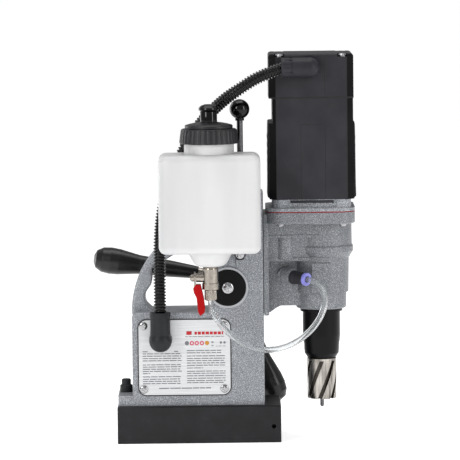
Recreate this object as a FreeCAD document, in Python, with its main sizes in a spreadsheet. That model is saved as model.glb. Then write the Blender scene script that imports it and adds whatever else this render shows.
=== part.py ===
"""Magnetic drill press: a parametric FreeCAD document, one labelled object for each physical piece.

Frame: the origin is the centre of the magnet's bottom face, +X points to the spindle, +Y to the side
with the feed capstan and the control panel, +Z up. Lengths are millimetres.
"""
import FreeCAD, Part
import math
import os

import Sketcher
from FreeCAD import Placement, Rotation, Vector

doc = FreeCAD.newDocument("magnetic_drill_press")
sheet = doc.addObject("Spreadsheet::Sheet", "Dim")
nodes = []


# ---------------------------------------------------------------- sizes bound to the sheet
class Size:
    """A length, with the spreadsheet expression that it comes from."""

    def __init__(self, text, value):
        self.text = text
        self.value = value

    def join(self, sign, other, value):
        return Size(f"({self.text} {sign} {other.text})", value)

    def __add__(self, other):
        other = as_size(other)
        return self.join("+", other, self.value + other.value)

    def __sub__(self, other):
        other = as_size(other)
        return self.join("-", other, self.value - other.value)

    def __mul__(self, other):
        other = as_size(other)
        return self.join("*", other, self.value * other.value)

    def __truediv__(self, other):
        other = as_size(other)
        return self.join("/", other, self.value / other.value)

    def __neg__(self):
        return Size(f"(0 - {self.text})", -self.value)

    def __radd__(self, other):
        return as_size(other) + self

    def __rsub__(self, other):
        return as_size(other) - self

    def __rmul__(self, other):
        return as_size(other) * self


def as_size(number):
    """A plain number as a Size; a Size stays as it is."""
    if isinstance(number, Size):
        return number
    return Size(f"({float(number):.6g})", float(number))


def dim(alias, value):
    """Put one driving dimension in the sheet and hand back the Size that names it."""
    dim.row += 1
    sheet.set(f"A{dim.row}", alias)
    sheet.set(f"B{dim.row}", str(value))
    sheet.setAlias(f"B{dim.row}", alias)
    return Size(f"Dim.{alias}", float(value))


dim.row = 0


def bind(obj, prop, size):
    """Bind one property to the sheet, or set it when the size is a plain number."""
    size = as_size(size)
    if "Dim." in size.text:
        obj.setExpression(prop, size.text)
    elif "." in prop:
        obj.setExpression(prop, size.text)
    else:
        setattr(obj, prop, size.value)


def numbers(point):
    """The plain numbers of a point given in Sizes."""
    return Vector(*[as_size(p).value for p in point])


def place(obj, at, direction=(0, 0, 1)):
    """Stand an object at a point, with its own Z turned to a direction."""
    turn = Rotation(Vector(0, 0, 1), Vector(*direction))
    obj.Placement = Placement(numbers(at), turn)
    for axis, size in zip("xyz", at):
        bind(obj, f"Placement.Base.{axis}", size)


# ---------------------------------------------------------------- shapes
def box(name, x, y, z):
    """A Part::Box between two sizes along each axis."""
    obj = doc.addObject("Part::Box", name)
    for prop, (low, high) in zip(("Length", "Width", "Height"), (x, y, z)):
        bind(obj, prop, as_size(high) - as_size(low))
    place(obj, [x[0], y[0], z[0]])
    return obj


def cylinder(name, radius, length, at, direction=(0, 0, 1)):
    """A Part::Cylinder that starts at a point and runs along a direction."""
    obj = doc.addObject("Part::Cylinder", name)
    bind(obj, "Radius", radius)
    bind(obj, "Height", length)
    place(obj, at, direction)
    return obj


def cone(name, radius_low, radius_high, length, at, direction=(0, 0, 1)):
    """A Part::Cone that starts at a point and runs along a direction."""
    obj = doc.addObject("Part::Cone", name)
    bind(obj, "Radius1", radius_low)
    bind(obj, "Radius2", radius_high)
    bind(obj, "Height", length)
    place(obj, at, direction)
    return obj


def cut(name, base, *tools):
    """Part::Cut of a base by one or more tools."""
    obj = doc.addObject("Part::Cut", name)
    obj.Base = base
    obj.Tool = tools[0] if len(tools) == 1 else fuse(name + "_tools", *tools)
    return obj


def fuse(name, *shapes):
    """Part::MultiFuse of several shapes."""
    obj = doc.addObject("Part::MultiFuse", name)
    obj.Shapes = list(shapes)
    return obj


def group(name, shapes):
    """Separate solids of one kind, kept together as one node."""
    obj = doc.addObject("Part::Compound", name)
    obj.Links = list(shapes)
    return obj


def soften(name, base, radius, pick, kind="Part::Fillet"):
    """Round or chamfer the edges that pick accepts; the radius is read from its Size."""
    doc.recompute()
    size = as_size(radius).value
    chosen = [i + 1 for i, edge in enumerate(base.Shape.Edges) if pick(edge)]
    if not chosen:
        raise ValueError(f"{name}: no edge to round")
    obj = doc.addObject(kind, name)
    obj.Base = base
    obj.Edges = [(i, size, size) for i in chosen]
    return obj


def along(edge, axis):
    """True for a straight edge parallel to an axis."""
    if edge.Curve.TypeId != "Part::GeomLine":
        return False
    return abs(abs(edge.tangentAt(edge.FirstParameter).dot(Vector(*axis))) - 1) < 1e-6


def at_level(edge, axis, level):
    """True when the whole edge lies at one level of an axis (0, 1 or 2)."""
    low = (edge.BoundBox.XMin, edge.BoundBox.YMin, edge.BoundBox.ZMin)[axis]
    high = (edge.BoundBox.XMax, edge.BoundBox.YMax, edge.BoundBox.ZMax)[axis]
    level = as_size(level).value
    return abs(low - level) < 1e-4 and abs(high - level) < 1e-4


class Piece:
    """A PartDesign body that grows by sketched features."""

    NORMALS = {"XY": 1, "XZ": -1, "YZ": 1}

    def __init__(self, name):
        self.name = name
        self.body = doc.addObject("PartDesign::Body", name)
        self.count = 0

    def sketch(self, plane, offset, points):
        """A closed polygon, every corner held by constraints bound to the sheet."""
        self.count += 1
        sketch = self.body.newObject("Sketcher::SketchObject", f"{self.name}_sketch_{self.count}")
        role = f"{plane}_Plane"
        datum = [f for f in self.body.Origin.OriginFeatures if f.Role == role][0]
        sketch.AttachmentSupport = (datum, "")
        sketch.MapMode = "FlatFace"
        bind(sketch, "AttachmentOffset.Base.z", as_size(offset) * self.NORMALS[plane])
        sizes = [[as_size(a), as_size(b)] for a, b in points]
        corners = [Vector(a.value, b.value, 0) for a, b in sizes]
        for i, corner in enumerate(corners):
            sketch.addGeometry(Part.LineSegment(corner, corners[(i + 1) % len(corners)]))
        for i in range(len(corners)):
            sketch.addConstraint(Sketcher.Constraint("Coincident", i, 2, (i + 1) % len(corners), 1))
        for i, (a, b) in enumerate(sizes):
            self.hold(sketch, i, "DistanceX", -2, a)
            self.hold(sketch, i, "DistanceY", -1, b)
        return sketch

    @staticmethod
    def hold(sketch, corner, kind, axis, size):
        """Fix one coordinate of a corner."""
        if abs(size.value) < 1e-9:
            sketch.addConstraint(Sketcher.Constraint("PointOnObject", corner, 1, axis))
            return
        index = sketch.addConstraint(Sketcher.Constraint(kind, -1, 1, corner, 1, size.value))
        if "Dim." in size.text:
            sketch.setExpression(f"Constraints[{index}]", size.text)

    def pad(self, plane, points, low, high):
        """Material between two levels along the plane's axis."""
        start = low if self.NORMALS[plane] > 0 else high
        pad = self.body.newObject("PartDesign::Pad", f"{self.name}_pad_{self.count}")
        pad.Profile = self.sketch(plane, start, points)
        bind(pad, "Length", as_size(high) - as_size(low))
        return self

    def turn(self, points):
        """Revolve a profile of (radius, height) about the body's own Z."""
        feature = self.body.newObject("PartDesign::Revolution", f"{self.name}_turn_{self.count}")
        sketch = self.sketch("XZ", 0, points)
        feature.Profile = sketch
        feature.ReferenceAxis = (sketch, ["V_Axis"])
        feature.Angle = 360
        return self

    def round(self, radius, pick, kind="PartDesign::Fillet"):
        """Fillet or chamfer the edges that pick accepts."""
        doc.recompute()
        tip = self.body.Tip
        names = [f"Edge{i + 1}" for i, edge in enumerate(tip.Shape.Edges) if pick(edge)]
        if not names:
            raise ValueError(f"{self.name}: no edge to round")
        self.count += 1
        feature = self.body.newObject(kind, f"{self.name}_round_{self.count}")
        feature.Base = (tip, names)
        bind(feature, "Size" if kind.endswith("Chamfer") else "Radius", radius)
        return self


def turned(name, points, at=(0, 0, 0), direction=(0, 0, 1)):
    """A piece turned about its own axis: (radius, height) points, stood at a point along a direction."""
    piece = Piece(name).turn(points)
    place(piece.body, at, direction)
    return piece.body


def ring(name, outer, inner, length, at, direction=(0, 0, 1)):
    """A plain bush or washer."""
    return turned(name, [(inner, 0), (outer, 0), (outer, length), (inner, length)], at, direction)


def node(name, obj):
    """Keep an object as one exported piece, under its own label."""
    if obj.Name != name:
        obj.Label = name
    nodes.append((name, obj))
    return obj


def screws(name, places, direction, head_radius, head_height, shank_radius, shank_length):
    """Pan-head screws: each place is where the head's underside sits; direction points out of the head."""
    made = []
    for i, at in enumerate(places):
        crown = head_radius * 0.72
        profile = [(0, -shank_length), (shank_radius, -shank_length), (shank_radius, 0), (head_radius, 0),
                   (head_radius, head_height * 0.45), (crown, head_height), (0, head_height)]
        made.append(turned(f"{name}_{i + 1}", profile, at, direction))
    return made


def holes(name, places, direction, radius, depth):
    """Cutters for the holes that a set of screws goes into, running back from the head."""
    back = [-d for d in direction]
    return [cylinder(f"{name}_{i + 1}", radius, depth, at, back) for i, at in enumerate(places)]


# ---------------------------------------------------------------- gears
def gear_outline(teeth, module, backlash, tooth_at, addendum=0.85, dedendum=1.2):
    """The closed wire of a spur gear with involute flanks, one tooth centred at tooth_at radians."""
    pressure = math.radians(20)
    pitch = module * teeth / 2
    base = pitch * math.cos(pressure)
    root = pitch - dedendum * module
    tip = pitch + addendum * module
    half = math.pi / (2 * teeth) - backlash / (2 * pitch)
    half_at_base = half + math.tan(pressure) - pressure
    flank = []
    steps = 4
    start = max(base, root)
    for step in range(steps + 1):
        radius = start + (tip - start) * step / steps
        angle = math.acos(min(1, base / radius))
        flank.append((radius, half_at_base - (math.tan(angle) - angle)))
    if root < base:
        flank.insert(0, (root, half_at_base))
    points = []
    for tooth in range(teeth):
        centre = tooth_at + 2 * math.pi * tooth / teeth
        sides = [(r, centre - a) for r, a in flank] + [(r, centre + a) for r, a in reversed(flank)]
        points += [Vector(r * math.cos(a), r * math.sin(a), 0) for r, a in sides]
    return Part.makePolygon(points + points[:1])


def gear_solid(teeth, module, backlash, tooth_at, width, bore):
    """A spur gear from Z 0 up, with a bore."""
    solid = Part.Face(gear_outline(teeth, module, backlash, tooth_at)).extrude(Vector(0, 0, width))
    if bore:
        solid = solid.cut(Part.makeCylinder(bore, width))
    return solid


def feature(name, shape, at=(0, 0, 0), direction=(0, 0, 1)):
    """A Part::Feature for a shape that neither sketches nor primitives suit."""
    obj = doc.addObject("Part::Feature", name)
    obj.Shape = shape
    place(obj, at, direction)
    return obj


# ---------------------------------------------------------------- driving dimensions
magnet_length = dim("magnet_length", 160)
magnet_width = dim("magnet_width", 80)
magnet_height = dim("magnet_height", 36.5)
column_half = dim("column_half_width", 33.4)
column_rear = dim("column_rear_x", -64.9)
column_front = dim("column_front_x", 64.2)
tower_rear = dim("tower_rear_x", 36.6)
tower_top = dim("tower_top_z", 243)
shelf_top = dim("shelf_top_z", 128)
ledge_rear = dim("ledge_rear_x", -79.2)
ledge_top = dim("ledge_top_z", 46.5)
feed_x = dim("feed_axis_x", 29.2)
feed_z = dim("feed_axis_z", 152)
feed_module = dim("feed_module", 1.75)
feed_teeth = dim("feed_teeth", 16)
spindle_x = dim("spindle_axis_x", 121)
motor_x = dim("motor_axis_x", 112.2)
plate_gap = dim("slide_gap", 0.4)
plate_thickness = dim("back_plate_thickness", 5)
plate_half = dim("back_plate_half_width", 33)
plate_low = dim("back_plate_bottom_z", 124)
flange_low = dim("flange_bottom_z", 213.8)
flange_rear = dim("flange_rear_x", 67)
flange_front = dim("flange_front_x", 154)
flange_top = dim("flange_top_z", 225)
gasket_thickness = dim("gasket_thickness", 1)
cover_top = dim("gearbox_cover_top_z", 237.8)
motor_half = dim("motor_half_width", 41.25)
motor_seam = dim("motor_seam_z", 336.7)
motor_top = dim("motor_top_z", 379.2)
motor_bore = dim("motor_bore_radius", 36.5)
tank_x = dim("tank_centre_x", 12.7)
tank_y = dim("tank_centre_y", -78)
tank_length = dim("tank_length", 98)
tank_depth = dim("tank_depth", 60)
tank_low = dim("tank_bottom_z", 191)
tank_top = dim("tank_top_z", 286)
tank_wall = dim("tank_wall", 2)
neck_radius = dim("tank_neck_radius", 24)
pin_x = dim("pin_axis_x", 42.5)
pin_y = dim("pin_axis_y", -43.5)
elbow_x = dim("conduit_exit_x", -36.9)
elbow_y = dim("conduit_exit_y", -45)
elbow_z = dim("conduit_exit_z", 101.6)
conduit_radius = dim("conduit_radius", 6.25)
hose_radius = dim("hose_radius", 3)
grip_plane = dim("grip_plane_y", 75)
running_gap = dim("running_gap", 0.05)
near = -column_half
pitch_radius = feed_module * feed_teeth / 2
drum_x = spindle_x + 2
flange_middle = (flange_rear + flange_front) / 2
flange_half = (flange_front - flange_rear) / 2
plate_rear = column_front + plate_gap
plate_front = plate_rear + plate_thickness
gasket_top = flange_top + gasket_thickness
NEAR = (0, -1, 0)
FAR = (0, 1, 0)
UP = (0, 0, 1)
DOWN = (0, 0, -1)
SPINDLE_CENTRES = 18
IDLER_X = (spindle_x.value + motor_x.value) / 2
IDLER = (IDLER_X, math.sqrt(SPINDLE_CENTRES ** 2 - (spindle_x.value - IDLER_X) ** 2))
FITTING_AXIS = (0.72, -0.69, -0.06)
FITTING_SEAT = (87.9, -25.6, 161.6)
CAP_SEAT = 376.2
CAP_CORNERS = [(motor_x.value + x, y) for x in (-30.6, 30.6) for y in (-33.2, 33.2)]
BOOT_END = 110.4
BRACKET_LOW = 184.6
SPOKE_ANGLES = (171.6, 291.6, 51.6)


# ---------------------------------------------------------------- stand
def coil_loop(name, grow, low, high):
    """The racetrack that the coil fills, as a box ring round the magnet's centre pole."""
    outer = box(name + "_outer", (-66 - grow, 66 + grow), (-27 - grow, 27 + grow), (low, high))
    inner = box(name + "_inner", (-52 + grow, 52 - grow), (-13 + grow, 13 - grow), (low - 1, high + 1))
    return cut(name, outer, inner)


def magnet():
    """The steel block with its coil slot, open below, and two tapped holes for the chip guard."""
    half = magnet_length / 2
    block = Piece("magnet_block").pad(
        "XY", [(-half, -magnet_width / 2), (half, -magnet_width / 2), (half, magnet_width / 2),
               (-half, magnet_width / 2)], 0, magnet_height)
    block.round(1, lambda e: along(e, (0, 0, 1)) or at_level(e, 2, magnet_height), "PartDesign::Chamfer")
    block.round(0.5, lambda e: at_level(e, 2, 0), "PartDesign::Chamfer")
    guard = [(72.8, -magnet_width / 2, 16), (72.8, magnet_width / 2, 16)]
    tools = [coil_loop("coil_slot", 0, -1, 22)]
    tools.append(cylinder("guard_hole_near", 2.1, 12, guard[0], FAR))
    tools.append(cylinder("guard_hole_far", 2.1, 12, guard[1], NEAR))
    node("magnet_base", cut("magnet_base", block.body, *tools))
    node("magnet_coils", coil_loop("magnet_coils", 0, 0, 22))


def arch_shape():
    """The arch handle over the window, with two finger scallops on its inner edge."""
    rear = column_rear.value - 0.4
    shelf = shelf_top.value - 3
    depth = 32.0
    outer = [Vector(rear, 0, shelf), Vector(-58.3, 0, 161.7), Vector(-42.3, 0, 186.4)]
    crown = Vector(tower_rear.value + 4, 0, 239)
    inner = [Vector(x, 0, z) for x, z in [
        (-44, shelf), (-46, 130.4), (-50.2, 134.6), (-51.9, 141.4), (-50, 148.2), (-46.2, 153.4),
        (-44.9, 159.6), (-45.6, 166.2), (-43.6, 172), (-38.6, 176), (-31, 178.2)]]
    crown_low = Vector(tower_rear.value + 4, 0, 222)
    grips = Part.BSplineCurve()
    grips.interpolate(inner[::-1])
    edges = [Part.Arc(*outer).toShape(),
             Part.LineSegment(outer[2], crown).toShape(),
             Part.LineSegment(crown, crown_low).toShape(),
             Part.LineSegment(crown_low, inner[-1]).toShape(),
             grips.toShape(),
             Part.LineSegment(inner[0], outer[0]).toShape()]
    bar = Part.Face(Part.Wire(edges)).extrude(Vector(0, depth, 0))
    bar.translate(Vector(0, -depth / 2, 0))
    sides = [e for e in bar.Edges if abs(abs(e.CenterOfMass.y) - depth / 2) < 1e-6]
    kept = [e for e in sides if e.CenterOfMass.z > shelf + 1 and e.CenterOfMass.x < tower_rear.value + 3.9]
    return bar.makeFillet(3, kept)


def column():
    """The hammertone column casting: base, tower with the dovetail way, arch handle and feed boss."""
    frame = Piece("column_frame").pad(
        "XZ", [(ledge_rear, magnet_height), (column_front, magnet_height), (column_front, tower_top),
               (tower_rear, tower_top), (tower_rear, feed_z + 14), (feed_x - 12, shelf_top + 9),
               (feed_x - 19, shelf_top), (column_rear, shelf_top), (column_rear, ledge_top),
               (ledge_rear, ledge_top)], near, column_half)
    frame.round(5, lambda e: along(e, (0, 1, 0)) and (
        at_level(e, 0, column_rear) and e.CenterOfMass.z > 100
        or at_level(e, 0, tower_rear) and e.CenterOfMass.z > 200))
    frame.round(2, lambda e: (at_level(e, 1, near) or at_level(e, 1, column_half))
                and not at_level(e, 2, magnet_height))
    boss = cylinder("feed_boss", 20.2, column_half * 2 + 3, (feed_x, near - 1.5, feed_z), FAR)
    arch = feature("arch_handle", arch_shape())
    solid = fuse("column_solid", frame.body, boss, arch)
    way = Piece("dovetail_way").pad(
        "XY", [(column_front + 1, -18.3), (column_front, -18.3), (column_front - 10.4, -23.3),
               (column_front - 10.4, 27.3), (column_front, 22.3), (column_front + 1, 22.3)],
        magnet_height - 1, tower_top + 1)
    rack_way = box("rack_way", (feed_x + 11.4, column_front - 10), (-8.5, 8.5),
                   (magnet_height - 1, tower_top + 1))
    room = box("switch_room", (-58, 30), (-28, column_half + 1), (46, 119))
    chamber = cylinder("pinion_chamber", 16.6, 22, (feed_x, -11, feed_z), FAR)
    bore = cylinder("feed_bore", 11, column_half * 2 + 6, (feed_x, near - 3, feed_z), FAR)
    recess = cylinder("disc_recess", 18.3, 1.5, (feed_x, near - 1.5, feed_z), FAR)
    far_recess = cylinder("hub_recess", 16, 1.6, (feed_x, column_half, feed_z), FAR)
    exit_hole = cylinder("conduit_hole", 7, 12, (elbow_x, near - 1, elbow_z), FAR)
    gland_hole = cylinder("gland_hole", 4, 8, (-72, 0, ledge_top - 7), UP)
    tools = [way.body, rack_way, room, chamber, bore, recess, far_recess, exit_hole, gland_hole]
    tools += holes("gib_hole", gib_places(), FAR, 2.5, 12)
    tools += holes("plate_hole", plate_places(0), NEAR, 2, 6)
    tools += holes("panel_hole", panel_places(0), FAR, 2, 6)
    tools += holes("bracket_hole", bracket_places(0), NEAR, 2.6, 8)
    node("column_casting", cut("column_casting", solid, *tools))


def gib_places():
    """Heads of the three gib screws, in the far side of the tower."""
    return [(column_front - 5.2, column_half, z) for z in (70, 145, 220)]


def gib():
    """The adjustable strip on the far flank of the dovetail, pressed by three screws."""
    strip = Piece("gib_strip").pad(
        "XY", [(column_front - 10.2, 23.4), (column_front - 0.2, 18.4), (column_front - 0.2, 22.2),
               (column_front - 10.2, 27.2)], magnet_height + 1, tower_top - 2)
    node("gib_strip", strip.body)
    screw_list = screws("gib_screw", gib_places(), FAR, 4.2, 3, 2.45, 7.2)
    node("gib_screws", group("gib_screws", screw_list))


def plate_places(lift):
    """The four corners of the name plate."""
    return [(x, near - lift, z) for x in (-53.8, 24.9) for z in (53, 115.3)]


def name_plate():
    """The thin plate on the near side, with a hole for the conduit elbow, and its four screws."""
    blank = Piece("plate_blank").pad(
        "XZ", [(-59, 46.8), (31.4, 46.8), (31.4, 121.3), (-59, 121.3)], near - 0.8, near)
    blank.round(8, lambda e: along(e, (0, 1, 0)))
    tools = [cylinder("plate_exit", 11.2, 4, (elbow_x, near - 2, elbow_z), FAR)]
    tools += holes("plate_screw_hole", plate_places(2), NEAR, 2, 4)
    node("name_plate", cut("name_plate", blank.body, *tools))
    heads = screws("name_plate_screw", plate_places(0.8), NEAR, 4, 2, 1.95, 6)
    node("name_plate_screws", group("name_plate_screws", heads))


def panel_places(lift):
    """The four corners of the control panel."""
    return [(x, column_half + lift, z) for x in (-60.5, 32.5) for z in (44.5, 121.5)]


def control_panel():
    """The far side's panel with the rocker's window, the two button holes and its screws."""
    blank = Piece("panel_blank").pad(
        "XZ", [(-64, 41), (36, 41), (36, 125), (-64, 125)], column_half, column_half + 2.5)
    blank.round(4, lambda e: along(e, (0, 1, 0)))
    window = box("rocker_window", (-47, -27), (column_half - 1, column_half + 4), (68, 98))
    start = cylinder("start_hole", 9.5, 5, (-2, column_half - 1, 96), FAR)
    stop = cylinder("stop_hole", 9.5, 5, (-2, column_half - 1, 68), FAR)
    tools = [window, start, stop] + holes("panel_screw_hole", panel_places(4), FAR, 2, 6)
    node("control_panel", cut("control_panel", blank.body, *tools))
    heads = screws("panel_screw", panel_places(2.5), FAR, 3.6, 2, 1.95, 7)
    node("control_panel_screws", group("control_panel_screws", heads))
    rocker = Piece("magnet_rocker").pad(
        "XZ", [(-46, 69), (-28, 69), (-28, 97), (-46, 97)], column_half - 6, column_half + 4)
    rocker.round(1.5, lambda e: at_level(e, 1, column_half + 4))
    node("magnet_rocker", rocker.body)
    for name, z in (("start_button", 96), ("stop_button", 68)):
        profile = [(0, -8), (5, -8), (5, -2), (9, -2), (9, 4), (8, 5.5), (0, 5.5)]
        node(name, turned(name, profile, (-2, column_half, z), FAR))


def small_stand_pieces():
    """The gland on the rear ledge and the two bushes of the feed shaft."""
    gland = [(0, -6), (3.9, -6), (3.9, 0), (6.2, 0), (6.2, 6.6), (5.2, 7.4), (4.6, 7.4), (4.6, 12),
             (3.8, 13), (0, 13)]
    node("cable_gland", turned("cable_gland", gland, (-72, 0, ledge_top)))
    bushes = [ring("near_bush", 11, 8 + running_gap, 21, (feed_x, near, feed_z), FAR),
              ring("far_bush", 11, 8 + running_gap, 21, (feed_x, column_half - 21, feed_z), FAR)]
    node("feed_bushes", group("feed_bushes", bushes))


def lower_elbow():
    """The rubber elbow that leads the motor cable out of the column into its conduit."""
    spigot = turned("elbow_spigot", [(0, -11), (6.9, -11), (6.9, 0.8), (10.6, 0.8), (10.6, 3.4), (9, 4),
                                     (0, 4)], (elbow_x, near, elbow_z), NEAR)
    arm = cylinder("elbow_arm", 9, elbow_y * -1 + near, (elbow_x, near - 0.8, elbow_z), NEAR)
    bulb = doc.addObject("Part::Sphere", "elbow_ball")
    bulb.Radius = 10.95
    place(bulb, (elbow_x, elbow_y - 0.6, elbow_z))
    profile = [(0, 0), (10.2, 0), (9.8, 10), (9.5, 23.4), (10.1, 24.2), (10.1, 28), (0, 28)]
    sleeve = turned("elbow_sleeve", profile, (elbow_x, elbow_y, elbow_z))
    node("lower_conduit_elbow", fuse("lower_conduit_elbow", spigot, arm, bulb, sleeve))


# ---------------------------------------------------------------- cords
def tube_path(points):
    """Straight runs joined by tangent arcs, each as large as its two runs allow; prints the radii."""
    route = [Vector(*p) for p in points]
    edges = []
    last = route[0]
    radii = []
    for before, corner, after in zip(route, route[1:], route[2:]):
        arrive = (corner - before)
        leave = (after - corner)
        reach = 0.45 * min(arrive.Length, leave.Length)
        turn = arrive.getAngle(leave)
        arrive.normalize()
        leave.normalize()
        start = corner - arrive * reach
        end = corner + leave * reach
        radius = reach / math.tan(turn / 2)
        radii.append(round(radius, 1))
        inward = (leave - arrive).normalize()
        middle = corner + inward * (radius / math.cos(turn / 2) - radius)
        if (start - last).Length > 1e-4:
            edges.append(Part.LineSegment(last, start).toShape())
        edges.append(Part.Arc(start, middle, end).toShape())
        last = end
    edges.append(Part.LineSegment(last, route[-1]).toShape())
    print("radii", radii)
    return Part.Wire(edges)


def tube_solid(name, points, radius):
    """A cord's plain tube, with its volume compared with section times length."""
    wire = tube_path(points)
    start = wire.Edges[0]
    section = Part.Wire(Part.Circle(Vector(*points[0]), start.tangentAt(start.FirstParameter),
                                    radius).toShape())
    solid = wire.makePipeShell([section], True, True)
    expected = math.pi * radius ** 2 * wire.Length
    print(name, "length", round(wire.Length, 1), "volume ratio", round(solid.Volume / expected, 4))
    return feature(name, solid)


CONDUIT_ROUTE = [
    (-36.9, -45, 129.6), (-36.9, -45, 147), (-37.1, -42.2, 174), (-36.4, -41.2, 205), (-33.2, -41.3, 231),
    (-25.4, -41.2, 258), (-13.6, -41.5, 285), (4.4, -46, 314), (26.1, -56, 335.6), (43.3, -61, 347.5),
    (63.5, -56.4, 359.8), (85.2, -51.5, 366.3)]

HOSE_ROUTE = [
    (12.7, -78, 144.5), (12.7, -78, 136.7), (17.4, -78.8, 127.2), (26.8, -81, 115.2), (40, -84, 104.4),
    (56, -86.2, 96.8), (75.5, -87, 96.8), (94, -86, 103.2), (109.5, -83, 114.8), (119.5, -77.5, 128.5),
    (124, -69, 142.5), (120.5, -57.4, 154), (111.7, -48.4, 159.6), (103.3, -40.35, 160.3)]


# ---------------------------------------------------------------- coolant
def tank_form(name, inset):
    """The tank's outside, or with an inset its inside: rounded box, funnel, outlet spigot and neck."""
    half = tank_length / 2 - inset
    side = tank_depth / 2 - inset
    form = Piece(name).pad(
        "XY", [(tank_x - half, tank_y - side), (tank_x + half, tank_y - side),
               (tank_x + half, tank_y + side), (tank_x - half, tank_y + side)],
        tank_low + inset, tank_top - inset)
    form.round(10 - inset, lambda e: along(e, (0, 0, 1)))
    form.round(7 - inset, lambda e: at_level(e, 2, tank_low + inset) or at_level(e, 2, tank_top - inset))
    if inset:
        dish = [(0, 179.5), (8.9, 179.5), (11.6, 180.4), (13.9, 182.2), (15.5, 184.8), (19.8, 194.5),
                (0, 194.5)]
    else:
        dish = [(0, 177.5), (10.5, 177.5), (13.4, 178.5), (15.8, 180.5), (17.4, 183), (22.4, 193), (0, 193)]
    funnel = turned(name + "_funnel", dish, (tank_x, tank_y, 0))
    neck = cylinder(name + "_neck", neck_radius - inset, tank_top * -1 + 299 + inset,
                    (tank_x, tank_y, tank_top - inset))
    shapes = [form.body, funnel, neck]
    if inset:
        shapes.append(cylinder(name + "_drain", 6, 8, (tank_x, tank_y, 173)))
    return fuse(name + "_form", *shapes)


def coolant_tank():
    """The moulded tank, with the lug on its back that the retaining pin goes through."""
    outer = tank_form("tank_outside", 0)
    back = tank_y + tank_depth / 2
    lug = box("tank_lug", (pin_x - 8, pin_x + 8), (back - 3, back + 9), (210, 226))
    lug = soften("tank_lug_round", lug, 4, lambda e: along(e, (0, 0, 1)) and e.CenterOfMass.y > -45)
    inner = tank_form("tank_inside", tank_wall)
    pin_hole = cylinder("tank_pin_hole", 3.3, 20, (pin_x, pin_y, 208))
    shell = cut("tank_shell", outer, inner)
    lug_cut = cut("tank_lug_clear", lug, inner_copy(back))
    node("coolant_tank", cut("coolant_tank", fuse("tank_with_lug", shell, lug_cut), pin_hole))


def inner_copy(back):
    """Keeps the lug out of the tank's inside."""
    return box("tank_lug_limit", (pin_x - 12, pin_x + 12), (back - 10, back - 1), (200, 236))


def bracket_places(lift):
    """The two screws of the tank bracket, on the tower's near face."""
    return [(41.5, near - lift, BRACKET_LOW), (41.5, near - lift, 230)]


def tank_mount():
    """The bracket with its two eyes, its screws and the retaining pin with a ball knob."""
    low = BRACKET_LOW
    plate = Piece("bracket_plate").pad(
        "XZ", [(33.5, low + 7), (35.6, low), (38.3, low - 5.5), (44.7, low - 5.5), (47.4, low),
               (54, low + 7), (54, 240), (33.5, 240)], near - 3, near)
    plate.round(2.6, lambda e: along(e, (0, 1, 0)))
    shapes = [plate.body]
    for i, z in enumerate((197, 229)):
        eye = cylinder(f"bracket_eye_{i + 1}", 6, 8, (pin_x, pin_y, z))
        web = box(f"bracket_web_{i + 1}", (pin_x - 6, pin_x + 6), (pin_y, near - 2), (z, z + 8))
        shapes += [eye, web]
    limit = box("bracket_limit", (30, 60), (-60, -48.4 + 0.6), (170, 250))
    tools = [cylinder("bracket_pin_hole", 3.3, 60, (pin_x, pin_y, 190)), limit]
    tools += holes("bracket_screw_hole", bracket_places(3), NEAR, 2.6, 4)
    tools += [cylinder("bracket_driver_way", 5.5, 20, (41.5, near - 3, 230), NEAR)]
    bracket = cut("tank_bracket", fuse("bracket_solid", *shapes), *tools)
    node("tank_bracket", bracket)
    made = screws("bracket_screw", bracket_places(4), NEAR, 4.3, 2.4, 2.5, 11)
    made.append(ring("bracket_washer", 5.4, 2.5 + running_gap, 1, (41.5, near - 3, 230), NEAR))
    made.append(ring("bracket_washer_low", 5.2, 2.5 + running_gap, 1, (41.5, near - 3, low), NEAR))
    node("tank_bracket_screws", group("tank_bracket_screws", made))
    pin = [(0, 0), (2, 0), (3, 1.2), (3, 124), (0, 124)]
    node("tank_pin", turned("tank_pin", pin, (pin_x, pin_y, 195)))
    ball = doc.addObject("Part::Sphere", "pin_ball")
    ball.Radius = 9.7
    place(ball, (pin_x, pin_y, 326.6))
    collar = cylinder("pin_ball_collar", 4.4, 3, (pin_x, pin_y, 315.6))
    rod_hole = cylinder("pin_ball_bore", 3, 5, (pin_x, pin_y, 314))
    knob = cut("pin_knob", fuse("pin_ball_solid", ball, collar), rod_hole)
    node("pin_knob", knob)


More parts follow.
